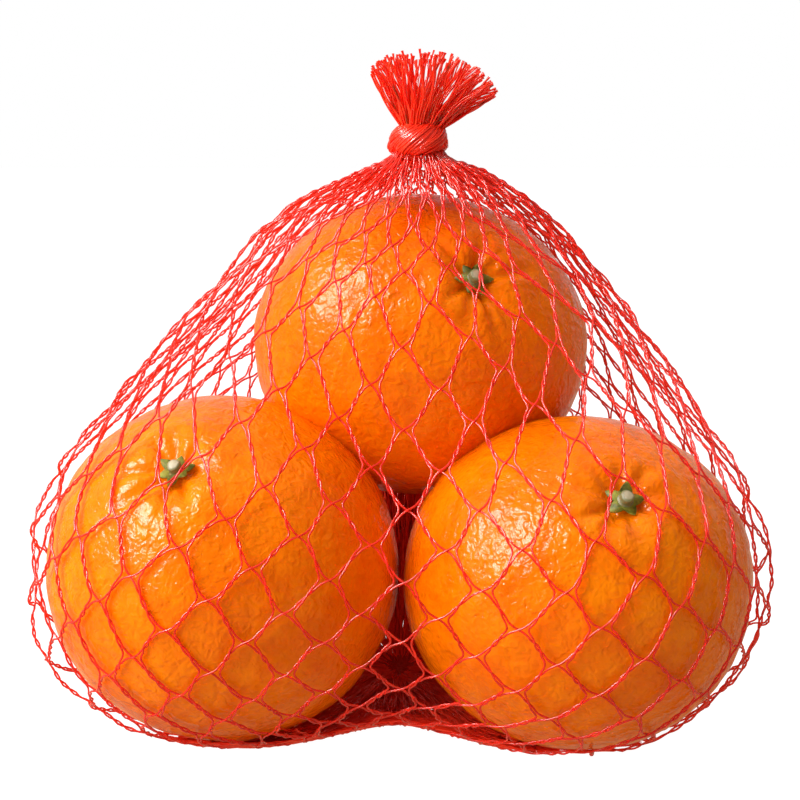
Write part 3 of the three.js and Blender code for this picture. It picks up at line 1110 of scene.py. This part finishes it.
@dataclass
class Net:
    """The knitted net: twisted pairs of filament that part, cross and meet again at each junction.

    Lengths are in millimetres. `merge` is the stretch over which a pair parts. `bar_share` and `bar_most`
    set the short bar along the row at which strands meet, and `bypass` how far out a filament passes it.
    """

    surface: NetSurface
    lattice: NetLattice
    filament: float = 0.20
    roundness: int = 1
    pair: float = 0.26
    merge: float = 1.9
    merge_share: float = 0.3
    bar_share: float = 0.045
    bar_most: float = 1.3
    bypass: float = 0.45
    bypass_least: float = 0.35
    bypass_aside: float = 0.1
    over: float = 0.2
    half_turn: float = 2.5
    turn_change: float = 0.5
    wander: float = 0.45
    wander_room: float = 9.0
    bow: float = 0.3
    pull: float = 1.05
    floor_clear: float = 0.23
    neck_ring: Triple = (3.0, 2.5, 112.4)
    gather_ring: float = 0.2
    gather_pucker: float = 0.3
    samples: int = 25
    split_steps: int = 5
    twist_steps: int = 9

    def __post_init__(self) -> None:
        """Lays out the junctions, with a ring in the neck above them and one in the gather below."""
        rows = self.lattice.rows()
        count, self.wales = rows.shape[:2]
        normals = self.surface.normals(rows)
        for i in range(count):
            for w in range(self.wales):
                beside = rows[i, (w + 1) % self.wales]
                left = unit(beside - rows[i, w - 1])
                down = np.cross(left, normals[i, w])
                room = min(1.0, np.linalg.norm(beside - rows[i, w]) / self.wander_room)
                rows[i, w] += self.wander * room * (left * swing(i, w, 1) + down * swing(i, w, 2))
        rows = self.surface.over(rows)
        first = (rows[0] + np.roll(rows[0], -1, axis=0)) / 2
        last = (rows[-1] + np.roll(rows[-1], -1 if count % 2 else 1, axis=0)) / 2
        self.nodes = np.concatenate([self._neck(first)[None], rows, self._gather(last)[None]])
        self.normals = self.surface.normals(self.nodes)
        self.last = len(self.nodes) - 2

    def _neck(self, row: np.ndarray) -> np.ndarray:
        """Ring of strand ends inside the knot, by the bearing of the row below."""
        wide, deep, z = self.neck_ring
        middle = np.array(self.surface.neck)
        out = unit((row - middle) * (1.0, 1.0, 0.0))
        x = middle[0] + wide * out[:, 0]
        y = middle[1] + deep * out[:, 1]
        return np.column_stack([x, y, np.full(len(row), z)])

    def _gather(self, row: np.ndarray) -> np.ndarray:
        """Ring of strand ends at the gather, drawn in a little."""
        net = self.surface
        pole = net.over(np.array([net.core - net.axis]))[0] + net.axis * self.gather_pucker
        out = row - pole
        out = unit(out - (out @ net.axis)[:, None] * net.axis)
        return pole + self.gather_ring * out

    def neighbours(self, row: int, wale: int) -> tuple[int, int]:
        """Wale numbers of the left and right nodes in the rows above and below."""
        if row % 2 == 0:
            return (wale + 1) % self.wales, wale
        return wale, (wale - 1) % self.wales

    def _across(self, row: int, wale: int) -> np.ndarray:
        """From a junction's right neighbour in its row to its left one."""
        return self.nodes[row, (wale + 1) % self.wales] - self.nodes[row, wale - 1]

    def _bar(self, row: int, wale: int) -> np.ndarray:
        """From the middle of a junction to the left end of the short bar at which its strands meet."""
        across = self._across(row, wale)
        if not 0 < row <= self.last:
            return np.zeros(3)
        return across * min(self.bar_share, self.bar_most / float(np.linalg.norm(across)))

    def _junction(self, row: int, wale: int) -> dict[Pass, ArrayPair]:
        """Where the filaments pass a junction, and which way they run down through it."""
        at, out = self.nodes[row, wale], self.normals[row, wale] * self.over
        bar = self._bar(row, wale)
        left, right = self.neighbours(row, wale)
        upper, lower = self.nodes[row - 1] - at, self.nodes[row + 1] - at
        over_way = unit(self.merge * (unit(lower[left]) - unit(upper[right])) + 2 * bar)
        under_way = unit(self.merge * (unit(lower[right]) - unit(upper[left])) - 2 * bar)
        passes = {Pass.OVER: (at + out, over_way), Pass.UNDER: (at - out, under_way)}
        for side, wale_beside, aside in ((Pass.LEFT, left, bar), (Pass.RIGHT, right, -bar)):
            up, down = upper[wale_beside], lower[wale_beside]
            room = min(self.merge, self.merge_share * min(np.linalg.norm(up), np.linalg.norm(down)))
            middle = unit(unit(up) + unit(down) + self.bypass_aside * unit(aside))
            reach = max(self.bypass * room * float(unit(up) @ middle), self.bypass_least)
            passes[side] = (at + aside + middle * reach, unit(unit(down) - unit(up)))
        return passes

    @staticmethod
    def _route(lean: Lean, outside: bool, at_head: bool) -> Pass:
        """How a strand's outer or inner filament gets past the junction at its head or its foot."""
        if outside:
            return Pass.LEFT if (lean is Lean.LEFT) == at_head else Pass.RIGHT
        return Pass.OVER if lean is Lean.LEFT else Pass.UNDER

    def _split(self, start: np.ndarray, way: np.ndarray, end: np.ndarray, end_way: np.ndarray) -> np.ndarray:
        """Smooth run from a junction to the pair, without its last point."""
        pull = np.linalg.norm(end - start) * self.pull
        u = np.linspace(0.0, 1.0, self.split_steps + 1)[:-1, None]
        return (
            (2 * u**3 - 3 * u**2 + 1) * start
            + (u**3 - 2 * u**2 + u) * pull * way
            + (3 * u**2 - 2 * u**3) * end
            + (u**3 - u**2) * pull * end_way
        )

    def _course(self, row: int, wale: int, foot: int, lean: Lean) -> tuple[np.ndarray, ...]:
        """Middle line of a strand, with its directions along, out of the net and to its outer side.

        Args:
            row: Row of the upper junction.
            wale: Its wale.
            foot: Wale of the lower junction.
            lean: Which way the strand runs.

        Returns:
            Points, then the three directions at each of them.
        """
        share = np.linspace(0.0, 1.0, self.samples)[:, None]
        a = self.nodes[row, wale] + lean.value * self._bar(row, wale)
        b = self.nodes[row + 1, foot] - lean.value * self._bar(row + 1, foot)
        line = a + (b - a) * share
        if 0 < row < self.last:
            line = self.surface.over(line)
        first, second = self.normals[row, wale], self.normals[row + 1, foot]
        out = unit(first + (second - first) * share)
        along = unit(np.gradient(line, axis=0))
        beside = unit(np.cross(along, out))
        line = line + beside * (self.bow * swing(row, wale, lean.value) * np.sin(math.pi * share))
        outer = np.sign(np.sum(beside * self._across(row, wale) * lean.value, axis=1, keepdims=True))
        return line, along, out, beside * np.where(outer == 0, 1.0, outer)

    def strand(self, row: int, wale: int, lean: Lean) -> list[np.ndarray]:
        """The two filaments of the strand that runs down from a junction.

        Args:
            row: Row of the upper junction.
            wale: Its wale.
            lean: Which way the strand runs.

        Returns:
            One polyline for each filament.
        """
        left, right = self.neighbours(row, wale)
        foot = left if lean is Lean.LEFT else right
        course = self._course(row, wale, foot, lean)
        length = float(steps_of(course[0]).sum())
        gap = min(self.merge, self.merge_share * length)
        start = gap if row > 0 else 0.0
        end = length - (gap if row < self.last else 0.0)
        change = self.turn_change * swing(row, wale, lean.value, 3)
        turns = max(1, round((end - start) / self.half_turn + change))
        x = np.linspace(start, end, self.twist_steps) / length
        spots = np.linspace(0.0, 1.0, self.samples)
        middle, along, out, aside = (resample(x, spots, rows) for rows in course)
        angle = (math.pi * turns * np.linspace(0.0, 1.0, self.twist_steps))[:, None]
        head = self._junction(row, wale) if row > 0 else {}
        tail = self._junction(row + 1, foot) if row < self.last else {}
        made = []
        for is_outer, points in zip((True, False), wound(middle, aside, out, angle, self.pair)):
            parts = [points]
            if head:
                spot, way = head[self._route(lean, is_outer, True)]
                parts.insert(0, self._split(spot, way, points[0], along[0]))
            if tail:
                ends_outside = is_outer == (turns % 2 == 1)
                spot, way = tail[self._route(lean, ends_outside, False)]
                parts.append(self._split(spot, -way, points[-1], -along[-1])[::-1])
            path = np.concatenate(parts)
            path[:, 2] = np.maximum(path[:, 2], self.floor_clear)
            made.append(path)
        return made

    def panel(self, row: int, wale: int) -> Panel:
        """Sixth of the net that a node lies in."""
        out = self.nodes[row, wale] - self.surface.core
        bearing = math.atan2(float(out @ self.surface.side), -float(out @ self.surface.back))
        panels = list(Panel)
        return panels[round(bearing / (2 * math.pi) * len(panels)) % len(panels)]

    def build(self, material: bpy.types.Material) -> None:
        """Builds and dresses the panels of the net."""
        bundles = {panel: Filaments(panel.value, self.filament, self.roundness) for panel in Panel}
        for row in range(len(self.nodes) - 1):
            for wale in range(self.wales):
                for lean in Lean:
                    for path in self.strand(row, wale, lean):
                        bundles[self.panel(row, wale)].add(path)
        for bundle in bundles.values():
            dress(bundle.mesh_object(), material)


@dataclass(frozen=True)
class PleatSet:
    """Pleats that run out from one end of the bag; bearings are counted from the back, in degrees."""

    count: int
    latitudes: Pair
    middle: float
    spread: float
    start: Pair
    reach: Pair
    depth: Pair


@dataclass(frozen=True)
class HemSet:
    """Strands bunched under the bag that run from side to side between the fruit."""

    count: int
    front: Pair
    ends: Pair
    depth: Pair
    height: float = 3.0


@dataclass
class BunchedNet:
    """Bunched net at one end of the bag: twisted pairs laid in layers just inside the net.

    Lengths are in millimetres. Pleats sink to their depth over `sink`, are drawn into bundles about the
    first distance of `bundle_at`, and sway by `wave` from the distances of `wave_fade` on.
    """

    name: str
    surface: NetSurface
    sets: tuple[PleatSet, ...]
    hems: tuple[HemSet, ...] = ()
    filament: float = 0.165
    pair: float = 0.19
    half_turn: float = 4.5
    sink: float = 7.0
    slant: float = 0.12
    wave: Pair = (0.25, 14.0)
    wave_fade: Pair = (4.0, 12.0)
    bundles: int = 14
    bundle_at: Pair = (3.6, 2.4)
    bundle_pull: float = 0.8
    thinning: float = 0.6
    thinning_from: float = 0.8
    floor_clear: float = 0.23
    samples: int = 120
    steps: int = 24

    def _pleat(self, pleats: PleatSet, longitude: float, number: int) -> ArrayTriple:
        """Middle line of one pleat, drawn into a bundle with its neighbours near the bag's end.

        Args:
            pleats: The set that the pleat belongs to.
            longitude: Its bearing about the bag's axis, from the back.
            number: Number that its random draws are keyed to.

        Returns:
            Its points, the directions out of the net, and the distances from the bag's end.
        """
        net = self.surface
        latitude = np.radians(np.linspace(*pleats.latitudes, self.samples))
        run = net.over(net.core + net.direction(latitude, np.full(len(latitude), longitude)))
        along = np.concatenate([[0.0], np.cumsum(steps_of(run))])
        start = between(pleats.start, chance(number, 4))
        end = between(pleats.reach, chance(number, 5))
        depth = between(pleats.depth, chance(number, 1))
        far = np.linspace(start, min(end, along[-1]), self.steps)
        line = resample(far, along, run)
        outward = net.normals(line)
        line = line - outward * (depth * ease(far, 0.0, self.sink))[:, None]
        aside = np.cross(unit(np.gradient(line, axis=0)), outward)
        share = longitude / (2 * math.pi) * self.bundles
        middle, width = self.bundle_at
        turn = self.bundle_pull * (round(share) - share) / self.bundles * 2 * math.pi
        return line + aside * (turn * bell(far - middle, width) * far)[:, None], outward, far

    def _hem(self, hem: HemSet, number: int) -> ArrayTriple:
        """Middle line of one strand of a hem, the directions out of the net and the distances along it."""
        net = self.surface
        left, right = (between(hem.ends, chance(number, key)) for key in (4, 5))
        x = np.linspace(-left, right, self.steps)
        y = between(hem.front, chance(number, 1)) + self.slant * swing(number, 6) * x
        line = net.over(np.stack([x, y, np.full(self.steps, hem.height)], axis=-1))
        outward = net.normals(line)
        return line - outward * between(hem.depth, chance(number, 7)), outward, x + left

    def _wind(self, bundle: Filaments, number: int, laid: ArrayTriple) -> None:
        """Adds a pair of filaments wound about a waved line.

        Args:
            bundle: Where the filaments go.
            number: Number that the random draws are keyed to.
            laid: Points of the line, directions out of the net along it and distances along it.
        """
        line, outward, far = laid
        aside = np.cross(unit(np.gradient(line, axis=0)), outward)
        size, length = self.wave
        sway = size * np.sin(2 * math.pi * (far / length + chance(number, 2))) * ease(far, *self.wave_fade)
        angle = (math.pi * (far / self.half_turn + chance(number, 3)))[:, None]
        thin = self.thinning * ease(np.linspace(0.0, 1.0, self.steps), self.thinning_from, 1.0)
        for path in wound(line + aside * sway[:, None], aside, outward, angle, self.pair):
            path[:, 2] = np.maximum(path[:, 2], self.floor_clear)
            bundle.add(path, 1.0 - thin)

    def build(self, material: bpy.types.Material) -> None:
        """Builds and dresses the pleats and the hems."""
        bundle = Filaments(self.name, self.filament)
        number = 0
        for pleats in self.sets:
            for k in range(pleats.count):
                share = 2.0 * (k + 0.5 + 0.5 * swing(number, 6)) / pleats.count - 1.0
                longitude = math.radians(pleats.middle + pleats.spread * share)
                self._wind(bundle, number, self._pleat(pleats, longitude, number))
                number += 1
        for hem in self.hems:
            for _ in range(hem.count):
                self._wind(bundle, number, self._hem(hem, number))
                number += 1
        dress(bundle.mesh_object(), material)


GATHER_PLEATS = (
    PleatSet(70, (-89.6, 12.0), 0.0, 105.0, (0.2, 1.5), (40.0, 60.0), (0.2, 1.6)),
    PleatSet(46, (-89.6, 12.0), 128.0, 27.0, (0.2, 1.5), (32.0, 46.0), (0.1, 2.4)),
    PleatSet(46, (-89.6, 12.0), -128.0, 27.0, (0.2, 1.5), (32.0, 46.0), (0.1, 2.4)),
    PleatSet(70, (-89.6, 12.0), 180.0, 27.0, (0.2, 1.5), (18.0, 28.0), (0.4, 2.2)),
    PleatSet(80, (-89.3, 30.0), 0.0, 19.0, (2.0, 26.0), (62.0, 78.0), (0.3, 3.0)),
)
FRONT_HEMS = (
    HemSet(70, (-16.0, -8.0), (18.0, 44.0), (0.0, 0.4)),
    HemSet(60, (-10.0, 8.0), (14.0, 36.0), (0.1, 0.9)),
)
NECK_PLEATS = (
    PleatSet(24, (87.5, 10.0), -95.0, 60.0, (0.3, 2.0), (5.0, 12.0), (0.1, 1.4)),
    PleatSet(28, (87.5, 10.0), 95.0, 60.0, (0.3, 2.0), (6.0, 15.0), (0.1, 1.4)),
    PleatSet(12, (87.5, 10.0), 180.0, 50.0, (0.3, 2.0), (5.0, 10.0), (0.1, 1.0)),
)


@dataclass(frozen=True)
class WoundBand:
    """One roll of bunched net in the knot: a ring about the neck, or an upright ring at its side."""

    ring: Pair
    tube: Pair
    tilt: float
    twist: float
    count: int
    at: Triple = (0.0, 0.0, 0.0)
    upright: bool = False


@dataclass
class Knot:
    """The knot: rolls of bunched net wound about the neck over a solid core.

    Lengths are in millimetres; strays, waves and swells of the filaments are shares of a roll.
    """

    at: Triple = (3.5, 3.4, 113.4)
    filament: float = 0.19
    steps: int = 44
    stray: float = 0.10
    wave: float = 0.03
    swell: float = 0.05
    uneven: float = 0.4
    phase: float = 6.3
    core_share: float = 0.985
    core_ring: float = 2.0
    core_steps: tuple[int, int] = (24, 36)
    bands: tuple[WoundBand, ...] = (
        WoundBand((2.25, 2.1), (3.1, 2.95), 7.0, 1.0, 84),
        WoundBand((1.05, 1.05), (1.7, 1.75), 14.0, 0.35, 44, (3.55, 0.3, 0.3), True),
        WoundBand((0.95, 0.95), (1.5, 1.6), -18.0, 0.35, 38, (-3.85, 0.3, -0.45), True),
    )

    def _spot(self, band: WoundBand, turn: np.ndarray, around: np.ndarray, swell: np.ndarray) -> np.ndarray:
        """Points on a band at turns along its ring and angles about the ring's own line."""
        out = band.tube[0] * swell * np.cos(around)
        rise = band.tube[1] * swell * np.sin(around)
        first = (band.ring[0] + out) * np.cos(turn)
        second = (band.ring[1] + out) * np.sin(turn)
        x, y, z = (rise, first, second) if band.upright else (first, second, rise)
        c, s = math.cos(math.radians(band.tilt)), math.sin(math.radians(band.tilt))
        return np.stack([x * c - z * s, y, x * s + z * c], axis=-1) + np.array(self.at) + np.array(band.at)

    def _core(self, number: int, band: WoundBand) -> bpy.types.Object:
        """Solid ring inside a band, so that no light shows through the knot."""
        bm = bmesh.new()
        segments, steps = self.core_steps
        loop = bmesh.ops.create_circle(bm, segments=segments, radius=1.0)["verts"]
        bmesh.ops.rotate(bm, verts=loop, cent=(0, 0, 0), matrix=Matrix.Rotation(math.pi / 2, 3, "X"))
        bmesh.ops.translate(bm, verts=loop, vec=(self.core_ring, 0.0, 0.0))
        edges = list({edge for vert in loop for edge in vert.link_edges})
        spin_about_z(bm, loop + edges, steps)
        for vert in bm.verts:
            turn = np.array(math.atan2(vert.co.y, vert.co.x))
            out = math.hypot(vert.co.x, vert.co.y) - self.core_ring
            around = np.array(math.atan2(vert.co.z, out))
            vert.co = self._spot(band, turn, around, np.array(self.core_share))
        close_seams(bm)
        return object_from(bm, f"knot_core_{number + 1}")

    def build(self, material: bpy.types.Material) -> None:
        """Builds and dresses the knot's filaments and its core."""
        bundle = Filaments("knot", self.filament)
        turn = np.linspace(math.pi / 2, 2.5 * math.pi, self.steps)
        for number, band in enumerate(self.bands):
            sweep = np.linspace(0.0, 2 * math.pi * band.twist, self.steps)
            for k in range(band.count):
                start = 2 * math.pi * (k + self.uneven * swing(number, k, 1)) / band.count
                stray = self.stray * np.sin(2.0 * turn + self.phase * chance(number, k, 4))
                wave = self.wave * np.sin(3.0 * turn + self.phase * chance(number, k, 2))
                wave += self.swell * swing(number, k, 3)
                bundle.add(self._spot(band, turn, start + sweep + stray, 1.0 + wave))
            dress(self._core(number, band), material)
        dress(bundle.mesh_object(), material)


@dataclass
class Tassel:
    """The cut end of the net above the knot: layers of narrow cells fanned out from the neck.

    Lengths are in millimetres and angles in degrees. The pairs of `fan` and `depth_fan` are the share of the
    spread at the neck and what it gains along a column; those of `depth_rim` and `base_rim` are the share at
    the fan's edges and what it gains in the middle.
    """

    at: Triple = (3.9, 3.4, 115.2)
    base: Pair = (3.2, 2.5)
    base_rim: Pair = (0.4, 0.6)
    lean: float = 14.5
    spread: float = 39.0
    fan: Pair = (0.80, 0.26)
    depth_spread: float = 19.0
    depth_fan: Pair = (0.8, 0.3)
    depth_rim: Pair = (0.35, 0.65)
    length: Pair = (13.2, 15.4)
    uneven: float = 0.7
    layers: tuple[float, ...] = (-0.9, -0.3, 0.3, 0.9)
    layer_stray: float = 0.25
    layer_shift: float = 0.45
    layer_phase: float = 1.7
    columns: int = 19
    column_stray: float = 0.35
    half_waves: float = 2.7
    wave_share: float = 0.36
    wave_bend: float = 0.85
    wave_stray: float = 0.8
    widening: float = 1.25
    filament: float = 0.20
    pair: float = 0.22
    half_turns: float = 1.2
    cut_open: float = 0.6
    cut_from: float = 0.8
    short_from: float = 0.6
    taper: Pair = (1.05, 0.85)
    bead: Pair = (1.1, 1.25)
    steps: int = 30
    loop_layers: tuple[int, ...] = (1, 3)
    loop_bow: float = 0.9
    loop_bend: Pair = (0.7, 0.3)
    loop_edge: float = 0.015
    loop_key: int = 900

    def _column(self, layer: int, column: float) -> ArrayPair:
        """Middle line of one column and the direction across the fan along it."""
        u = column / (self.columns - 1) * 2.0 - 1.0
        key = round(column * 10)
        depth = self.layers[layer] + self.layer_stray * swing(layer, key, 2)
        rim = math.sqrt(max(1.0 - min(abs(u), 1.0) ** 2, 0.0))
        reach = between(self.length, rim) - self.uneven * chance(layer, key, 3) ** 2
        t = np.linspace(0.0, 1.0, self.steps)
        lean = np.radians(self.lean + self.spread * u * (self.fan[0] + self.fan[1] * t))
        deep = np.radians(self.depth_spread * depth * (self.depth_fan[0] + self.depth_fan[1] * t))
        deep *= self.depth_rim[0] + self.depth_rim[1] * rim
        way = unit(np.stack([np.sin(lean), np.sin(deep) * np.cos(lean), np.cos(lean)], axis=-1))
        foot_y = self.base[1] * depth * (self.base_rim[0] + self.base_rim[1] * rim)
        line = np.array(self.at) + np.array([self.base[0] * u, foot_y, 0.0]) + way * (reach * t)[:, None]
        return line, unit(np.stack([np.cos(lean), np.zeros_like(lean), -np.sin(lean)], axis=-1))

    def _pair(self, bundle: Filaments, key: int, line: np.ndarray, aside: np.ndarray) -> None:
        """Adds the two filaments of a column, wound about each other, with a small bead at the cut ends.

        Args:
            bundle: Where the filaments go.
            key: Number that the random draws are keyed to.
            line: Points of the column's middle line.
            aside: Directions across the fan along it.
        """
        front = np.cross(aside, unit(np.gradient(line, axis=0)))
        t = np.linspace(0.0, 1.0, self.steps)[:, None]
        angle = math.pi * (self.half_turns * t + chance(key, 5) - self.half_turns / 2)
        for sign in (1.0, -1.0):
            opening = 1.0 + self.cut_open * chance(key, sign + 9) * ease(t, self.cut_from, 1.0)
            offset = (np.cos(angle) * aside + np.sin(angle) * front) * opening
            trim = self.steps - (2 if chance(key, sign + 7) > self.short_from else 0)
            path = (line + sign * self.pair * offset)[:trim]
            thickness = np.linspace(*self.taper, len(path))
            thickness[-2:] = self.bead
            bundle.add(path, thickness)

    def _add_columns(self, bundle: Filaments, layer: int) -> None:
        """Adds the columns of one layer, woven from side to side so that they bound narrow cells."""
        t = np.linspace(0.0, 1.0, self.steps)
        for column in range(self.columns):
            key = layer * 100 + column
            shift = self.layer_shift * (layer % 2) + self.column_stray * swing(key, 1)
            line, aside = self._column(layer, column + shift)
            width = 2 * self.base[0] + self.widening * np.linalg.norm(line - line[0], axis=1)
            phase = math.pi * (column % 2) + self.layer_phase * layer + self.wave_stray * swing(key, 4)
            weave = np.sin(math.pi * self.half_waves * t**self.wave_bend + phase)
            weave *= self.wave_share * width / self.columns
            self._pair(bundle, key, line + aside * weave[:, None], aside)

    def _add_loops(self, bundle: Filaments, side: int) -> None:
        """Adds the bowed strands at one edge of the fan, 0 for the left and 1 for the right."""
        t = np.linspace(0.0, 1.0, self.steps)
        for layer in self.loop_layers:
            column = (self.columns - 1) * ((1.0 + 2 * self.loop_edge) * side - self.loop_edge)
            line, aside = self._column(layer, column)
            bend = self.loop_bend[0] + self.loop_bend[1] * layer
            bow = self.loop_bow * (2.0 * side - 1.0) * np.sin(math.pi * t**bend)
            self._pair(bundle, self.loop_key + layer + side * 10, line + aside * bow[:, None], aside)

    def build(self, material: bpy.types.Material) -> None:
        """Builds and dresses the tassel."""
        bundle = Filaments("tassel", self.filament)
        for layer in range(len(self.layers)):
            self._add_columns(bundle, layer)
        for side in (0, 1):
            self._add_loops(bundle, side)
        dress(bundle.mesh_object(), material)


@dataclass(frozen=True)
class Lamp:
    """A round light: its direction, how wide it looks, its strength, whether it glints and its distance.

    A light without a distance is far away, so that all of the bag gets as much of it.
    """

    name: str
    way: Triple
    angle: float
    strength: float
    glint: bool = False
    distance: float = 0.0
    aim: Triple = (0.0, 0.0, 50.0)
    sun_distance: float = 600.0

    def _light(self) -> bpy.types.Light:
        """The far light, or the near disc that gives as much light at the bag."""
        half = math.radians(self.angle) / 2
        if not self.distance:
            light = bpy.data.lights.new(self.name, "SUN")
            light.angle = 2 * half
            light.energy = self.strength
            return light
        light = bpy.data.lights.new(self.name, "AREA")
        light.shape = "DISK"
        light.size = 2 * self.distance * math.tan(half) * MM
        light.energy = self.strength * math.pi * (self.distance * MM / math.cos(half)) ** 2
        return light

    def build(self) -> None:
        """Adds the light."""
        lamp = placed(self.name, self._light())
        way = Vector(self.way).normalized()
        lamp.location = (Vector(self.aim) + way * (self.distance or self.sun_distance)) * MM
        lamp.rotation_euler = way.to_track_quat("Z", "Y").to_euler()
        lamp.visible_glossy = self.glint
        lamp.visible_diffuse = not self.glint
        lamp.visible_camera = False


LAMPS = (
    Lamp("soft_key", (-0.80, -0.32, 0.51), 70.0, 5.35, distance=640.0),
    Lamp("soft_top", (0.05, 0.02, 1.0), 60.0, 1.0),
    Lamp("glint", (-0.70, -0.37, 0.61), 34.0, 12.5, glint=True),
)


@dataclass
class Studio:
    """Pale floor, soft white surround, a soft box at the upper left, light from above, and the camera.

    The surround's glows are given in pairs of limits: shares of the way back or up, and the glow at them.
    """

    aim: Triple = (0.0, -9.0, 65.2)
    distance: float = 416.7
    elevation: float = 8.0
    lens: float = 100.0
    sensor: float = 36.0
    clip_start: float = 0.01
    floor_size: float = 6000.0
    floor_tone: Colour = (0.18, 0.18, 0.18, 1.0)
    floor_bounce: Colour = (0.52, 0.39, 0.24, 1.0)
    back_glow: tuple[Pair, Pair] = ((-0.2, 0.5), (0.11, 0.26))
    top_glow: tuple[Pair, Pair] = ((0.0, 1.0), (0.0, 0.36))
    rim_glow: tuple[Pair, Pair] = ((0.1, 0.7), (0.0, 0.6))

    def build(self) -> None:
        """Sets the floor, the lights and the camera."""
        self._floor()
        self._world()
        for lamp in LAMPS:
            lamp.build()
        self._camera()
        view = bpy.context.scene.view_settings
        view.view_transform = "Standard"
        view.look = "None"

    def _floor(self) -> None:
        """A wide, plain, pale floor that is seen as white and gives a warm bounce."""
        bm = bmesh.new()
        bmesh.ops.create_grid(bm, x_segments=1, y_segments=1, size=self.floor_size / 2)
        floor = object_from(bm, "floor")
        graph = Graph.of_material("pale_floor")
        floor.data.materials.append(graph.surface({
            "Base Color": self.floor_tone,
            "Roughness": 1.0,
            "Specular IOR Level": 0.0,
            "Emission Color": graph.blend(graph.direct_ray(), self.floor_bounce, WHITE),
            "Emission Strength": 1.0,
        }))

    def _world(self) -> None:
        """A bright backdrop, a dim room in front and a glow overhead, all seen as white."""
        graph = Graph(bpy.data.worlds.new("surround"))
        way = graph.node("ShaderNodeTexCoord", {}, {}, "Generated")
        back, up = (graph.node("ShaderNodeSeparateXYZ", {}, {0: way}, axis) for axis in ("Y", "Z"))
        glow = graph.slope(back, *self.back_glow) + graph.slope(up, *self.top_glow)
        glow += graph.slope(back, *self.rim_glow) * graph.ray("Glossy")
        strength = graph.node("ShaderNodeMix", {}, {0: graph.direct_ray(), 2: glow, 3: 1.0})
        bpy.context.scene.world = graph.surround({"Color": WHITE, "Strength": strength})

    def _camera(self) -> None:
        """The camera, level with the photograph's view."""
        data = bpy.data.cameras.new("camera")
        data.lens = self.lens
        data.sensor_width = self.sensor
        data.sensor_fit = "HORIZONTAL"
        data.clip_start = self.clip_start
        camera = placed("camera", data)
        tip = math.radians(self.elevation)
        back = Vector((0.0, -math.cos(tip), math.sin(tip)))
        camera.location = (Vector(self.aim) + back * self.distance) * MM
        camera.rotation_euler = (math.pi / 2 - tip, 0.0, 0.0)
        bpy.context.scene.camera = camera


def main() -> None:
    """Builds the bag piece by piece."""
    logging.basicConfig(level=logging.INFO, format="%(name)s %(message)s")
    Studio().build()
    peel, sepal, stub = PeelFinish().material(), SepalFinish().material(), StubFinish().material()
    bunched_red = BUNCHED_RED.material()
    for form in FRUIT:
        pressed = (LEFT_FRUIT, RIGHT_FRUIT) if form is TOP_FRUIT else ()
        Mandarin(form, pressed).build(peel, sepal, stub)
    surface = NetSurface()
    Net(surface, NetLattice(surface)).build(KNITTED_RED.material())
    BunchedNet("gather", surface, GATHER_PLEATS, FRONT_HEMS).build(GATHERED_RED_PAINTED_LIGHT.material())
    BunchedNet("neck", surface, NECK_PLEATS).build(bunched_red)
    Knot().build(bunched_red)
    Tassel().build(FANNED_RED.material())


if __name__ == "__main__":
    main()
